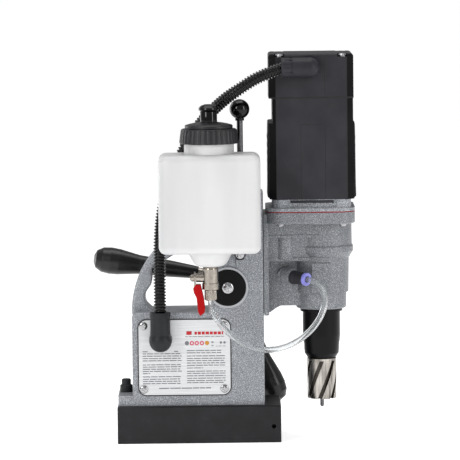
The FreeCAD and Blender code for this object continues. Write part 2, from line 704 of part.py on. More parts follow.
def tank_fittings():
    """Cap, vent plug, outlet valve with its lever, and the hose nut."""
    cap_profile = [(24.6, 0), (28.3, 0), (26.6, 13.4), (25.8, 14.1), (22.9, 14.1), (22.9, 17.2),
                   (22.2, 18), (14, 20), (8.2, 20.6), (8.2, 30.2), (7.2, 31), (4.1, 31), (4.1, 17),
                   (20.9, 14.4), (20.9, 3.4), (24.6, 3.4)]
    cap = turned("tank_cap", cap_profile, (tank_x, tank_y, 296))
    node("tank_cap", cap)
    plug_profile = [(0, -13), (3.6, -13), (3.6, 0), (9, 0), (9.7, 1.2), (9.4, 2.8), (7.2, 4.9), (3.8, 6.1),
                    (0, 6.3)]
    node("vent_plug", turned("vent_plug", plug_profile, (tank_x, tank_y, 327.4)))
    valve_profile = [(0, 0), (8.1, 0), (8.1, 5.6), (7.6, 6.4), (7.6, 19.6), (7, 21.8), (5.9, 21.8),
                     (5.9, 26), (0, 26)]
    body = turned("valve_turned", valve_profile, (tank_x, tank_y, 155.2))
    stem = cylinder("valve_stem", 4.2, tank_x + 1.2, (tank_x, tank_y, 166.4), (-1, 0, 0))
    bore = cylinder("valve_bore", 2.4, 40, (tank_x, tank_y, 150))
    node("valve_body", cut("valve_body", fuse("valve_solid", body, stem), bore))
    nut_profile = [(2.4, 0), (5.4, 0), (6.6, 1.2), (6.6, 9), (5.8, 10.7), (2.4, 10.7)]
    nut = turned("hose_nut_round", nut_profile, (tank_x, tank_y, 144.5))
    flats = [box(f"nut_flat_{i}", (5.8, 9), (-9, 9), (-1, 12)) for i in range(6)]
    for i, flat in enumerate(flats):
        turn = Rotation(Vector(0, 0, 1), 60 * i)
        corner = numbers((tank_x, tank_y, 144.5)) + turn.multVec(Vector(5.8, -9, -1))
        for axis in "xyz":
            flat.setExpression(f"Placement.Base.{axis}", None)
        flat.Placement = Placement(corner, turn)
    node("hose_nut", cut("hose_nut", nut, *flats))
    sleeve = Piece("lever_sleeve").pad(
        "XZ", [(-1.9, 160.4), (3.2, 160.4), (4.6, 154), (6.2, 147.2), (7.3, 137), (6.6, 133), (2.4, 129.6),
               (0.3, 134), (-1, 147.2), (-3.6, 152.4), (-4.1, 156)], tank_y - 5.4, tank_y + 5.4)
    sleeve.round(1.5, lambda e: at_level(e, 1, tank_y - 5.4) or at_level(e, 1, tank_y + 5.4))
    plate = box("lever_plate", (-3.2, -1.4), (tank_y - 5, tank_y + 5), (159, 172))
    plate = soften("lever_plate_round", plate, 4, lambda e: along(e, (1, 0, 0)) and e.CenterOfMass.z > 171)
    end = turned("lever_nut", [(0, 0), (3.6, 0), (3.6, 2.6), (2.4, 3.4), (2.4, 4.2), (0, 4.2)],
                 (-3, tank_y, 166.4), (-1, 0, 0))
    node("valve_lever", fuse("valve_lever", sleeve.body, plate, end))


# ---------------------------------------------------------------- carriage
def slide():
    """The dovetail rail on the back plate, and the feed rack behind it."""
    rail = Piece("slide_rail").pad(
        "XY", [(plate_rear, -18), (column_front, -18), (column_front - 10, -23), (column_front - 10, 23),
               (column_front, 18), (plate_rear, 18)], plate_low + 1, tower_top)
    node("slide_rail", rail.body)
    module = feed_module.value
    line = feed_x.value + pitch_radius.value
    tip = line - 0.85 * module
    root = line + 1.2 * module
    pitch = math.pi * module
    slope = math.tan(math.radians(20))
    backlash = 0.25
    half_tip = pitch / 4 - backlash / 2 - (line - tip) * slope
    half_root = pitch / 4 - backlash / 2 + (root - line) * slope
    back = column_front.value - 10
    low = 129.0
    high = 242.0
    points = [Vector(back, 0, low), Vector(root, 0, low)]
    first = math.ceil((low + half_root - feed_z.value) / pitch)
    last = math.floor((high - half_root - feed_z.value) / pitch)
    for tooth in range(first, last + 1):
        centre = feed_z.value + tooth * pitch
        points += [Vector(root, 0, centre - half_root), Vector(tip, 0, centre - half_tip),
                   Vector(tip, 0, centre + half_tip), Vector(root, 0, centre + half_root)]
    points += [Vector(root, 0, high), Vector(back, 0, high)]
    bar = Part.Face(Part.makePolygon(points + points[:1])).extrude(Vector(0, 15, 0))
    node("feed_rack", feature("feed_rack", bar, (0, -7.5, 0)))


def rounded_slab(name, half_x, half_y, centre_x, low, high, corner, cut_kind="PartDesign::Fillet"):
    """A slab round a centre, with rounded or chamfered upright corners."""
    slab = Piece(name).pad(
        "XY", [(centre_x - half_x, -half_y), (centre_x + half_x, -half_y), (centre_x + half_x, half_y),
               (centre_x - half_x, half_y)], low, high)
    slab.round(corner, lambda e: along(e, (0, 0, 1)), cut_kind)
    return slab


def flange_places(z):
    """The four corners where the gear housing is bolted up to the motor."""
    return [(x, y, z) for x in (81.4, 141.6) for y in (-36.5, 36.5)]


def gear_housing():
    """The housing casting: back plate, flange, drum, nose and ribs, with the gear room inside."""
    plate = Piece("housing_plate").pad(
        "YZ", [(-plate_half, plate_low), (plate_half, plate_low), (plate_half, 223), (-plate_half, 223)],
        plate_rear, plate_front)
    plate.round(1.5, lambda e: at_level(e, 0, plate_front))
    flange = rounded_slab("housing_flange", flange_half, 44, flange_middle, flange_low, flange_top, 17)
    flange.round(1.5, lambda e: at_level(e, 2, flange_low))
    drum = [(0, -35.4), (26.2, -35.4), (29, -30.4), (29.8, -29.4), (29.8, -24.6), (28.6, -22.6), (28.4, 1),
            (0, 1)]
    upper = turned("housing_drum", drum, (drum_x, 0, flange_low))
    nose = [(0, 128.1), (23.4, 128.1), (24.6, 129.3), (24.8, 143.2), (26.9, 144.2), (27.6, 180), (0, 180)]
    lower = turned("housing_nose", nose, (spindle_x, 0, 0))
    neck = box("housing_neck", (plate_front - 1, spindle_x), (-24, 24), (176, flange_low + 1))
    web = Piece("housing_web").pad(
        "XZ", [(plate_front - 1, 125.4), (plate_front + 1.4, 125.4), (spindle_x - 44.8, 129.3),
               (spindle_x - 39.8, 131.6), (spindle_x, 131.6), (spindle_x, 178), (plate_front - 1, 178)],
        -14, 14)
    block = box("neck_block", (plate_front - 1, spindle_x), (-28.4, 28.4), (202.2, flange_low + 1))
    bulge = cylinder("neck_bulge", 9.6, 23, (86, -17.5, 178), UP)
    ribs = [block, bulge, box("rib_top", (plate_front - 1, spindle_x - 2), (-29, 29), (199.6, 202.2)),
            box("rib_mid", (plate_front - 1, spindle_x - 2), (-25, 25), (176.4, 179.4))]
    pad = box("housing_pad", (spindle_x - 9.6, spindle_x + 8.6), (-29.2, 0), (145.6, 174.3))
    boss = cylinder("fitting_boss", 8.2, 10, (86, -23.5, 161.8), FITTING_AXIS)
    inner = cylinder("fitting_boss_root", 8.2, 12, (86, -13, 161.8), NEAR)
    solid = fuse("housing_solid", plate.body, flange.body, upper, lower, neck, web.body, *ribs, pad, boss,
                 inner)
    room = cylinder("gear_room", 26.3, 46, (spindle_x, 0, 184))
    big = rounded_slab("idler_room", 37.5, 36, motor_x, flange_low - 0.5, flange_top + 1, 12)
    bores = [cylinder("spindle_bore", 10.5, 140, (spindle_x, 0, 110)),
             cylinder("low_bearing_seat", 17, 9, (spindle_x, 0, 132)),
             cylinder("top_bearing_seat", 15, 8, (spindle_x, 0, 177)),
             cylinder("idler_low_bore", 3 + running_gap, 12, (IDLER[0], IDLER[1], 178)),
             cylinder("fitting_bore", 4.1, 14, numbers(FITTING_SEAT) - Vector(*FITTING_AXIS) * 4,
                      FITTING_AXIS)]
    bores += [cylinder(f"flange_hole_{i}", 2.6, 20, at) for i, at in enumerate(flange_places(210))]
    node("gear_housing", cut("gear_housing", solid, room, big.body, *bores))
    gasket = rounded_slab("gasket_blank", flange_half - 0.5, 43.5, flange_middle, flange_top, gasket_top, 16.5)
    inside = rounded_slab("gasket_inside", 37.5, 36, motor_x, flange_top - 1, gasket_top + 1, 12)
    gasket_holes = [cylinder(f"gasket_hole_{i}", 2.6, 20, at) for i, at in enumerate(flange_places(220))]
    node("housing_gasket", cut("housing_gasket", gasket.body, inside.body, *gasket_holes))


def gearbox_cover():
    """The plate between gear room and motor, with corner lobes and a pocket on its near side."""
    slab = rounded_slab("cover_slab", 38.3, 41, motor_x - 0.4, gasket_top, cover_top, 9)
    lip = rounded_slab("cover_lip", flange_half, 43.6, flange_middle, gasket_top, gasket_top + 3.4, 16.5)
    solid = fuse("cover_solid", slab.body, lip.body)
    pocket = box("cover_pocket", (87.5, 136.4), (-50, -39.2), (230.4, cover_top - 0.6))
    tools = [pocket, cylinder("cover_bearing_seat", 13, 9, (motor_x, 0, 229.4)),
             cylinder("cover_shaft_hole", 6, 20, (motor_x, 0, 224)),
             cylinder("cover_idler_bore", 3 + running_gap, 8, (IDLER[0], IDLER[1], 225))]
    tools += [cylinder(f"cover_hole_{i}", 2.6, 20, at) for i, at in enumerate(flange_places(225))]
    node("gearbox_cover", cut("gearbox_cover", solid, *tools))
    bolts = screws("flange_screw", flange_places(flange_low), DOWN, 3.7, 2.6, 2.5, 31)
    node("flange_screws", group("flange_screws", bolts))


def motor():
    """Motor housing, side vent covers, top cap with its screws, stator and brushes."""
    shell = rounded_slab("motor_shell", motor_half, motor_half, motor_x, cover_top, motor_seam, 7,
                         "PartDesign::Chamfer")
    recess_near = box("recess_rear", (60, motor_x - motor_half + 3.4), (-50, 50), (312, motor_seam + 1))
    recess_far = box("recess_front", (motor_x + motor_half - 0.6, 170), (-50, 50), (312, motor_seam + 1))
    bore = cylinder("motor_bore", motor_bore, 100, (motor_x, 0, cover_top + 2.6))
    spider_gap = cylinder("spider_gap", 32, 40, (motor_x, 0, 318))
    low_hole = cylinder("motor_low_hole", 14, 20, (motor_x, 0, cover_top - 5))
    bolt_holes = [cylinder(f"motor_bolt_hole_{i}", 2.6, 12, at)
                  for i, at in enumerate(flange_places(cover_top - 1))]
    node("motor_housing", cut("motor_housing", shell.body, recess_near, recess_far, bore, spider_gap,
                              low_hole, *bolt_holes))
    covers = []
    for side in (-1, 1):
        face = motor_x + motor_half * side
        cover = Piece(f"vent_cover_{side + 2}").pad(
            "XZ", [(face, 235.4), (face + 2.4 * side, 237.4), (face + 1.7 * side, 256),
                   (face + 1.4 * side, 306), (face + 0.6 * side, 312), (face, 312)], -28, 28)
        slots = [box(f"vent_slot_{side + 2}_{i}", (face - 5, face + 5), (-22, 22),
                     (255 + 8 * i, 258.5 + 8 * i)) for i in range(6)]
        covers.append(cut(f"vent_cover_cut_{side + 2}", cover.body, *slots))
    node("motor_side_covers", group("motor_side_covers", covers))
    cap = rounded_slab("cap_shell", motor_half, motor_half, motor_x, motor_seam, motor_top, 7,
                       "PartDesign::Chamfer")
    cap.round(3, lambda e: at_level(e, 2, motor_top))
    hollow = rounded_slab("cap_hollow", motor_half - 3, motor_half - 3, motor_x, motor_seam - 1,
                          motor_top - 3, 7, "PartDesign::Chamfer")
    posts = [cylinder(f"cap_post_{i}", 6.2, 60, (x, y, motor_seam - 2))
             for i, (x, y) in enumerate(CAP_CORNERS)]
    inner = cut("cap_inside", hollow.body, *posts)
    wells = [cylinder(f"cap_well_{i}", 4.9, 40, (x, y, CAP_SEAT)) for i, (x, y) in enumerate(CAP_CORNERS)]
    wells += [box(f"cap_notch_{i}", (x - 4.9, x + 4.9), (min(y, 2 * y), max(y, 2 * y)), (CAP_SEAT, 400))
              for i, (x, y) in enumerate(CAP_CORNERS)]
    shafts = [cylinder(f"cap_bolt_hole_{i}", 2.1, 60, (x, y, 330)) for i, (x, y) in enumerate(CAP_CORNERS)]
    spigot = cylinder("cap_elbow_hole", 6, 12, (BOOT_END, -36, 366.3), NEAR)
    node("motor_top_cap", cut("motor_top_cap", cap.body, inner, *wells, *shafts, spigot))
    bolts = screws("cap_screw", [(x, y, CAP_SEAT) for x, y in CAP_CORNERS], UP, 4.4, 2.9, 2, 38)
    node("motor_cap_screws", group("motor_cap_screws", bolts))
    node("motor_stator", ring("motor_stator", motor_bore, 25.2, 58, (motor_x, 0, 256)))
    brushes = [box(f"brush_{side + 2}", sorted_pair(motor_x, 14.5, 30, side), (-4, 4), (320, 330))
               for side in (-1, 1)]
    node("carbon_brushes", group("carbon_brushes", brushes))


def sorted_pair(centre, near_step, far_step, side):
    """The low and high X of something that lies on one side of a centre."""
    ends = [centre + near_step * side, centre + far_step * side]
    return ends if side > 0 else ends[::-1]


def upper_elbow():
    """The boot that carries the conduit into the motor cap, with its rim pad."""
    profile = [(0, 5), (7.6, 5), (7.6, 0), (9.2, 0), (9.6, 1), (9.6, 8), (9.2, 8.6), (9.2, 10.4), (9.8, 11),
               (9.8, 27.2), (0, 27.2)]
    sleeve = turned("boot_sleeve", profile, (83.2, -51.5, 366.3), (1, 0, 0))
    bulb = doc.addObject("Part::Sphere", "boot_end")
    bulb.Radius = 9.9
    place(bulb, (BOOT_END, -51.5, 366.3))
    arm = cylinder("boot_arm", 9.4, 51.5 - motor_half, (BOOT_END, -51.5, 366.3), FAR)
    spigot = cylinder("boot_spigot", 5.9, 18, (BOOT_END, -53, 366.3), FAR)
    rim = cylinder("boot_rim", 12, 2, (BOOT_END, -motor_half - 2, 366.3), FAR)
    node("upper_conduit_elbow", fuse("upper_conduit_elbow", sleeve, bulb, arm, spigot, rim))


def hose_fitting():
    """The push-in fitting in its boss, and the collar that releases the hose."""
    start = numbers(FITTING_SEAT) + Vector(*FITTING_AXIS) * 2
    profile = [(0, -5), (4, -5), (4, 5.7), (6.8, 5.7), (6.8, 9), (6.1, 10), (6.1, 19), (5.4, 20), (4.3, 20),
               (4.3, 16.6), (0, 16.6)]
    node("hose_fitting", turned("hose_fitting", profile, start, FITTING_AXIS))
    collar = [(3.3, 17.8), (4, 17.8), (4, 21.2), (6.3, 21.2), (6.3, 23.6), (5.9, 24), (3.3, 24)]
    node("fitting_collar", turned("fitting_collar", collar, start, FITTING_AXIS))


def bearings():
    """Bearing rings of the spindle and the armature."""
    made = [ring("spindle_low_bearing", 17, 10 + running_gap, 9, (spindle_x, 0, 132)),
            ring("spindle_top_bearing", 15, 10 + running_gap, 8, (spindle_x, 0, 177)),
            ring("armature_low_bearing", 13, 5 + running_gap, 8.4, (motor_x, 0, 229.4))]
    node("gearbox_bearings", group("gearbox_bearings", made))


# ---------------------------------------------------------------- turning pieces
def gear_train():
    """Armature with its pinion, the idler pair, and the spindle gear, in mesh at rest."""
    to_idler = math.atan2(IDLER[1], IDLER[0] - motor_x.value)
    to_spindle = math.atan2(-IDLER[1], spindle_x.value - IDLER[0])
    fast = 0.75
    slow = 1.0
    pinion = feature("armature_pinion", gear_solid(12, fast, 0.14, to_idler, 9, 0), (motor_x, 0, 215))
    rod = turned("armature_rod", [(0, 224), (3.4, 224), (5, 226), (5, 334), (0, 334)], (motor_x, 0, 0))
    node("armature_shaft", fuse("armature_shaft", pinion, rod))
    big = gear_solid(36, fast, 0.14, to_idler + math.pi * (1 + 1 / 36), 6, 0)
    small = gear_solid(12, slow, 0.16, to_spindle, 9, 0)
    small.translate(Vector(0, 0, -19))
    rods = Part.makeCylinder(3, 52, Vector(0, 0, -38)).fuse(Part.makeCylinder(4.4, 14, Vector(0, 0, -13)))
    train = rods.fuse([big, small])
    node("idler_gears", feature("idler_gears", train, (IDLER[0], IDLER[1], 216.5)))
    wheel = gear_solid(24, slow, 0.16, to_spindle + math.pi * (1 + 1 / 24), 7, 10)
    node("spindle_gear", feature("spindle_gear", wheel, (spindle_x, 0, 199.5)))


def armature():
    """Wound core with commutator, and the cooling fan below it."""
    core = [(5, 254), (16, 254), (22, 258), (22, 262), (24.4, 262), (24.4, 308), (22, 308), (22, 312),
            (15, 316), (13.8, 316), (13.8, 334), (5, 334)]
    node("armature_core", turned("armature_core", core, (motor_x, 0, 0)))
    disc = turned("fan_disc", [(5, 243.4), (9, 243.4), (9, 245.4), (33, 245.4), (33, 247), (9, 247),
                               (9, 252.6), (5, 252.6)], (motor_x, 0, 0))
    blades = []
    for i in range(9):
        blade = Part.makeBox(22, 1.4, 6, Vector(10, -0.7, 246))
        blade.rotate(Vector(0, 0, 0), Vector(0, 0, 1), 40 * i)
        blades.append(feature(f"fan_blade_{i}", blade, (motor_x, 0, 0)))
    node("cooling_fan", fuse("cooling_fan", disc, *blades))


def spindle():
    """Hollow spindle, quick-change arbor with its set screws, and the annular cutter."""
    shaft = [(2.7, 126), (10, 126), (10, 206.5), (10.8, 206.5), (10.8, 208.5), (2.7, 208.5)]
    node("spindle", turned("spindle", shaft, (spindle_x, 0, 0)))
    arbor = [(9.55, 78.5), (13.6, 78.5), (16.8, 83.4), (18.4, 101), (18.4, 124.9), (20.8, 125.2),
             (20.8, 127.7), (10.3, 127.7), (10.3, 126), (2.7, 126), (2.7, 112), (9.55, 112)]
    body = turned("arbor_body", arbor, (spindle_x, 0, 0))
    seats = [(16.2, 0, 92), (-16.2, 0, 92)]
    tools = [cylinder(f"set_screw_hole_{i}", 4, 12, (spindle_x + x, y, z), (-x, 0, 0))
             for i, (x, y, z) in enumerate(seats)]
    outer = [cylinder(f"set_screw_way_{i}", 4, 6, (spindle_x + x, y, z), (x, 0, 0))
             for i, (x, y, z) in enumerate(seats)]
    node("arbor", cut("arbor", body, *tools, *outer))
    plain = [turned(f"set_screw_{i}", [(0, 0), (3.9, 0), (3.9, 6.4), (0, 6.4)],
                    (spindle_x + x, y, z), (-x, 0, 0)) for i, (x, y, z) in enumerate(seats)]
    node("arbor_set_screws", group("arbor_set_screws", plain))
    cutter = [(3.2, 111.9), (9.5, 111.9), (9.5, 78.4), (14.4, 78.2), (14.4, 39), (13.5, 38.4), (11.4, 39.4),
              (11.2, 70), (3.2, 73)]
    blank = turned("cutter_blank", cutter, (spindle_x, 0, 0))
    node("annular_cutter", cut("annular_cutter", blank, feature("cutter_flutes", flutes())))


def flutes():
    """Seven right-hand helical grooves in the cutter's wall, each a twisted stack of short slots."""
    teeth = 7
    lead_turn = 62.0
    low = 38.0
    high = 76.0
    radius = 15.6
    edges = []
    helix = Part.makeHelix(360 / lead_turn * (high - low), high - low, radius)
    width = 2.5
    section = Part.makePolygon([Vector(radius + 2, -width, 0), Vector(radius - 3.1, -width * 0.6, 0),
                                Vector(radius - 3.4, width * 0.6, 0), Vector(radius + 2, width * 1.5, 0),
                                Vector(radius + 2, -width, 0)])
    sweep = helix.makePipeShell([section], True, True)
    for i in range(teeth):
        one = sweep.copy()
        one.rotate(Vector(0, 0, 0), Vector(0, 0, 1), 360 * i / teeth)
        one.translate(Vector(spindle_x.value, 0, low))
        edges.append(one)
    return Part.makeCompound(edges)


def pilot():
    """The pilot pin through the cutter and the spring that ejects the slug."""
    pin = [(0, 29.5), (1, 29.7), (1.9, 31), (1.9, 58), (2.4, 60), (2.4, 150), (0, 150)]
    node("pilot_pin", turned("pilot_pin", pin, (spindle_x, 0, 0)))
    helix = Part.makeHelix(5.2, 30, 6.4)
    half = 0.6
    corners = [(-half, -half), (half, -half), (half, half), (-half, half), (-half, -half)]
    section = Part.makePolygon([Vector(6.4 + x, 0, z) for x, z in corners])
    coil = helix.makePipeShell([section], True, True)
    node("ejector_spring", feature("ejector_spring", coil, (spindle_x, 0, 41)))


# ---------------------------------------------------------------- feed capstan
def feed():
    """Pinion shaft, capstan hub with three spokes and grips, and the disc on the near end."""
    module = feed_module.value
    teeth = int(feed_teeth.value)
    gear = gear_solid(teeth, module, 0.2, math.pi / teeth, 20, 0)
    rod = Part.makeCylinder(8, 67.6, Vector(0, 0, -23.6)).fuse(Part.makeCylinder(6, 17, Vector(0, 0, 44)))
    solid = gear.fuse(rod).cut(Part.makeCylinder(2.6, 10, Vector(0, 0, -23.6)))
    node("feed_pinion", feature("feed_pinion", solid, (feed_x, -10, feed_z), FAR))
    hub = [(6.05, 17), (8.05, 17), (8.05, 0.6), (15.5, 0.6), (15.5, 22), (19, 27), (19, 50), (16, 55),
           (6.05, 55)]
    body = turned("hub_body", hub, (feed_x, column_half, feed_z), FAR)
    spokes = []
    grips = []
    tools = []
    for i, angle in enumerate(SPOKE_ANGLES):
        turn = math.radians(angle)
        out = (math.cos(turn), 0, math.sin(turn))
        root = numbers((feed_x, grip_plane, feed_z))
        spokes.append(turned(f"spoke_{i}", [(0, 12), (5, 12), (5, 100), (0, 100)], root, out))
        tools.append(cylinder(f"spoke_hole_{i}", 5, 14, root + Vector(*out) * 12, out))
        profile = [(5, 30), (6, 30), (6.7, 36), (8.4, 58), (9.6, 90), (12.9, 110), (13.4, 119), (12.4, 127),
                   (8.8, 133.2), (3.6, 135.5), (0, 135.5), (0, 100), (5, 100)]
        grips.append(turned(f"grip_{i}", profile, root, out))
    node("capstan_hub", cut("capstan_hub", body, *tools))
    node("spoke_rods", group("spoke_rods", spokes))
    node("spoke_grips", group("spoke_grips", grips))
    disc = [(2.6, 0), (17.8, 0), (17.8, 1.8), (16.8, 2.8), (2.6, 2.8)]
    node("pinion_disc", turned("pinion_disc", disc, (feed_x, near - 0.3, feed_z), NEAR))
    screw = [(0, -8), (2.55, -8), (2.55, 2.8), (5.8, 2.8), (5.8, 3.9), (4.2, 5.4), (0, 5.4)]
    node("pinion_disc_screw", turned("pinion_disc_screw", screw, (feed_x, near - 0.3, feed_z), NEAR))



magnet()
column()
gib()
name_plate()
control_panel()
small_stand_pieces()
lower_elbow()
node("cable_conduit", tube_solid("cable_conduit", CONDUIT_ROUTE, conduit_radius.value))
node("coolant_hose", tube_solid("coolant_hose", HOSE_ROUTE, hose_radius.value))
coolant_tank()
tank_mount()
tank_fittings()
slide()
gear_housing()
gearbox_cover()
motor()
upper_elbow()
hose_fitting()
bearings()
gear_train()
armature()
spindle()
pilot()
feed()

# ---------------------------------------------------------------- checks and export
doc.recompute()
for obj in doc.Objects:
    if "Invalid" in obj.State or "Error" in obj.State:
        raise RuntimeError(f"{obj.Name} failed: {obj.State}")
os.makedirs("parts", exist_ok=True)
for name, obj in nodes:
    shape = obj.Shape
    if shape.isNull() or not shape.isValid() or not shape.Solids:
        raise RuntimeError(f"{name} has no valid shape")
for name, obj in nodes:
    obj.Shape.exportStep(f"parts/{name}.step")
print(len(nodes), "nodes")
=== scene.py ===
"""Looks of the magnetic drill press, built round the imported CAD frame. Lengths in mm turn to metres by MM."""
import bpy
import bmesh
import math
import random
from mathutils import Matrix, Vector


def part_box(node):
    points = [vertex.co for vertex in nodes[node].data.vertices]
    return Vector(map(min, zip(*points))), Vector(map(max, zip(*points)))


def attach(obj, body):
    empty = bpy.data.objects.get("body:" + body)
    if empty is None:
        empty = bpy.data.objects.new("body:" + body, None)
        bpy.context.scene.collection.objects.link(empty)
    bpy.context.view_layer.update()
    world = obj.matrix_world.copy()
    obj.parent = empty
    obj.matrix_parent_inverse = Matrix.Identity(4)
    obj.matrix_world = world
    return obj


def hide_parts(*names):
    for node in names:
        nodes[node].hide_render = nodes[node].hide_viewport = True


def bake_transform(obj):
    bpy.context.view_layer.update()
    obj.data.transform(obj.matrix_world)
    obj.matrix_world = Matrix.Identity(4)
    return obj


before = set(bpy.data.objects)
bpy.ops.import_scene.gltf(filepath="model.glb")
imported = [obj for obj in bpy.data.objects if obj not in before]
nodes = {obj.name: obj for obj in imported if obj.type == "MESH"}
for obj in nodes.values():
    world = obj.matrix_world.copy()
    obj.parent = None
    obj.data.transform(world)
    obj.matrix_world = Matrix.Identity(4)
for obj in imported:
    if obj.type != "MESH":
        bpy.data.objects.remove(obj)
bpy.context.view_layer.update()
MM = 0.001
UP = Vector((0, 0, 1))
NEAR = Vector((0, -1, 0))
FAR = Vector((0, 1, 0))
SPINDLE_X = 121
FEED_X, FEED_Z = 29.2, 152
TANK_X, TANK_Y = 12.7, -78
CAP_SEAT = 296
BOOT_Y, BOOT_Z = -51.5, 366.3
random.seed(7)


# ---------------------------------------------------------------- materials
def linear(red, green, blue):
    """A display colour, 0 to 255, as the scene-linear colour that shaders take."""
    def one(value):
        value /= 255
        return value / 12.92 if value <= 0.04045 else ((value + 0.055) / 1.055) ** 2.4
    return (one(red), one(green), one(blue), 1)


class Finish:
    """A node material round one Principled shader, with helpers for texture, colour and bump."""

    def __init__(self, name, colour, rough, metal=0.0, **sockets):
        self.material = bpy.data.materials.new(name)
        self.material.use_nodes = True
        self.tree = self.material.node_tree
        self.shader = self.tree.nodes["Principled BSDF"]
        self.shader.inputs["Base Color"].default_value = colour
        self.shader.inputs["Roughness"].default_value = rough
        self.shader.inputs["Metallic"].default_value = metal
        for key, value in sockets.items():
            self.shader.inputs[key.replace("_", " ")].default_value = value
        self.place = self.add("ShaderNodeTexCoord").outputs["Object"]
        self.height = None

    def add(self, kind, **props):
        made = self.tree.nodes.new(kind)
        for key, value in props.items():
            setattr(made, key, value)
        return made

    def link(self, start, end):
        self.tree.links.new(start, end)

    def scaled(self, stretch):
        """The place on the object, in 1/m, stretched along each axis."""
        mapping = self.add("ShaderNodeMapping")
        mapping.inputs["Scale"].default_value = stretch
        self.link(self.place, mapping.inputs["Vector"])
        return mapping.outputs["Vector"]

    def noise(self, scale, detail=2.0, stretch=(1, 1, 1)):
        made = self.add("ShaderNodeTexNoise")
        made.inputs["Scale"].default_value = scale
        made.inputs["Detail"].default_value = detail
        self.link(self.scaled(stretch), made.inputs["Vector"])
        return made.outputs["Fac"]

    def cells(self, scale, smooth=0.6):
        made = self.add("ShaderNodeTexVoronoi", feature="SMOOTH_F1")
        made.inputs["Scale"].default_value = scale
        made.inputs["Smoothness"].default_value = smooth
        self.link(self.place, made.inputs["Vector"])
        return made.outputs["Distance"]

    def ramp(self, value, stops):
        made = self.add("ShaderNodeValToRGB")
        band = made.color_ramp
        while len(band.elements) < len(stops):
            band.elements.new(0.5)
        for element, (position, colour) in zip(band.elements, stops):
            element.position = position
            element.color = colour
        self.link(value, made.inputs["Fac"])
        return made.outputs["Color"]

    def colour(self, value):
        self.link(value, self.shader.inputs["Base Color"])
        return self

    def rough(self, value, low, high):
        made = self.add("ShaderNodeMapRange")
        made.inputs["To Min"].default_value = low
        made.inputs["To Max"].default_value = high
        self.link(value, made.inputs["Value"])
        self.link(made.outputs["Result"], self.shader.inputs["Roughness"])
        return self

    def bump(self, value, strength, distance):
        """Stack one more bump on the surface; distance in metres."""
        made = self.add("ShaderNodeBump")
        made.inputs["Strength"].default_value = strength
        made.inputs["Distance"].default_value = distance
        self.link(value, made.inputs["Height"])
        if self.height:
            self.link(self.height, made.inputs["Normal"])
        self.height = made.outputs["Normal"]
        self.link(self.height, self.shader.inputs["Normal"])
        return self

    def round_edges(self, radius):
        """Soft highlights along hard edges."""
        made = self.add("ShaderNodeBevel", samples=4)
        made.inputs["Radius"].default_value = radius
        self.height = made.outputs["Normal"]
        self.link(self.height, self.shader.inputs["Normal"])
        return self


def hammertone(name, depth):
    """Grey hammered enamel: fine mottle under a millimetre across, with small bright glints painted into the
    colour.
    """
    # depth scales every tone; below 1 it makes a darker copy of the enamel that paints shade.
    made = Finish(name, linear(128 * depth, 130 * depth, 136 * depth), 0.42, 0.15)
    made.round_edges(0.0006)
    cells = made.cells(1150)
    fine = made.noise(1700, 3)
    drift = made.noise(22, 2)
    mixed = made.add("ShaderNodeMath", operation="MULTIPLY_ADD")
    mixed.inputs[1].default_value = 0.5
    made.link(cells, mixed.inputs[0])
    made.link(fine, mixed.inputs[2])
    shaded = made.add("ShaderNodeMath", operation="MULTIPLY_ADD")
    shaded.inputs[1].default_value = 0.12
    made.link(drift, shaded.inputs[0])
    made.link(mixed.outputs["Value"], shaded.inputs[2])
    # The brightest stop paints small glints into the colour: painted highlight.
    tones = [(0.58, (92, 95, 101)), (0.74, (122, 125, 131)), (0.86, (142, 145, 150)),
             (0.97, (186, 189, 193))]
    stops = [(at, linear(*[part * depth for part in tone])) for at, tone in tones]
    made.colour(made.ramp(shaded.outputs["Value"], stops))
    made.rough(cells, 0.3, 0.52)
    made.bump(cells, 0.3, 0.0003)
    return made.material


def moulded(name, tone, rough, grain=0.0, spread=6, **sockets):
    """Moulded plastic or rubber: slight tone drift and a fine grain."""
    made = Finish(name, linear(*tone), rough, 0.0, **sockets)
    made.round_edges(0.0005)
    drift = made.noise(45, 2)
    darker = linear(*[max(0, c - spread) for c in tone])
    lighter = linear(*[c + spread for c in tone])
    made.colour(made.ramp(drift, [(0.35, darker), (0.65, lighter)]))
    if grain:
        made.bump(made.noise(2600, 2), grain, 0.0001)
    return made.material


def enamel_black():
    """Black stoved paint on machined steel, faintly uneven, rubbed lighter here and there."""
    made = Finish("black_enamel", linear(24, 24, 26), 0.5, 0.0, Specular_IOR_Level=0.3)
    made.round_edges(0.0007)
    drift = made.noise(60, 4)
    made.colour(made.ramp(drift, [(0.3, linear(15, 15, 17)), (0.62, linear(25, 25, 28)),
                                  (0.8, linear(38, 38, 41))]))
    made.rough(drift, 0.34, 0.55)
    made.bump(made.noise(900, 3), 0.12, 0.0001)
    return made.material


def metal(name, tone, rough, stretch=(1, 1, 1), scale=700, strength=0.05, spread=8):
    """Bare or plated metal with drawn or turned marks; on the cutter the wide spread paints light and dark
    reflection streaks.
    """
    made = Finish(name, linear(*tone), rough, 1.0)
    made.round_edges(0.0003)
    marks = made.noise(scale, 3, stretch)
    darker = linear(*[c - spread for c in tone])
    lighter = linear(*[min(255, c + spread) for c in tone])
    made.colour(made.ramp(marks, [(0.3, darker), (0.7, lighter)]))
    made.rough(marks, rough * 0.75, rough * 1.35)
    made.bump(marks, strength, 0.00005)
    return made.material


def tank_plastic():
    """Milky polyethylene that lets some light through, with faint upright bands."""
    made = Finish("milky_polyethylene", linear(205, 205, 205), 0.4, 0.0)
    made.shader.inputs["Subsurface Weight"].default_value = 0.35
    made.shader.inputs["Subsurface Radius"].default_value = (0.006, 0.006, 0.006)
    made.shader.inputs["Subsurface Scale"].default_value = 1.0
    haze = made.noise(34, 2, (1, 1, 0.15))
    made.colour(made.ramp(haze, [(0.35, linear(199, 199, 200)), (0.65, linear(210, 210, 210))]))
    made.bump(made.noise(70, 2), 0.08, 0.0006)
    return made.material


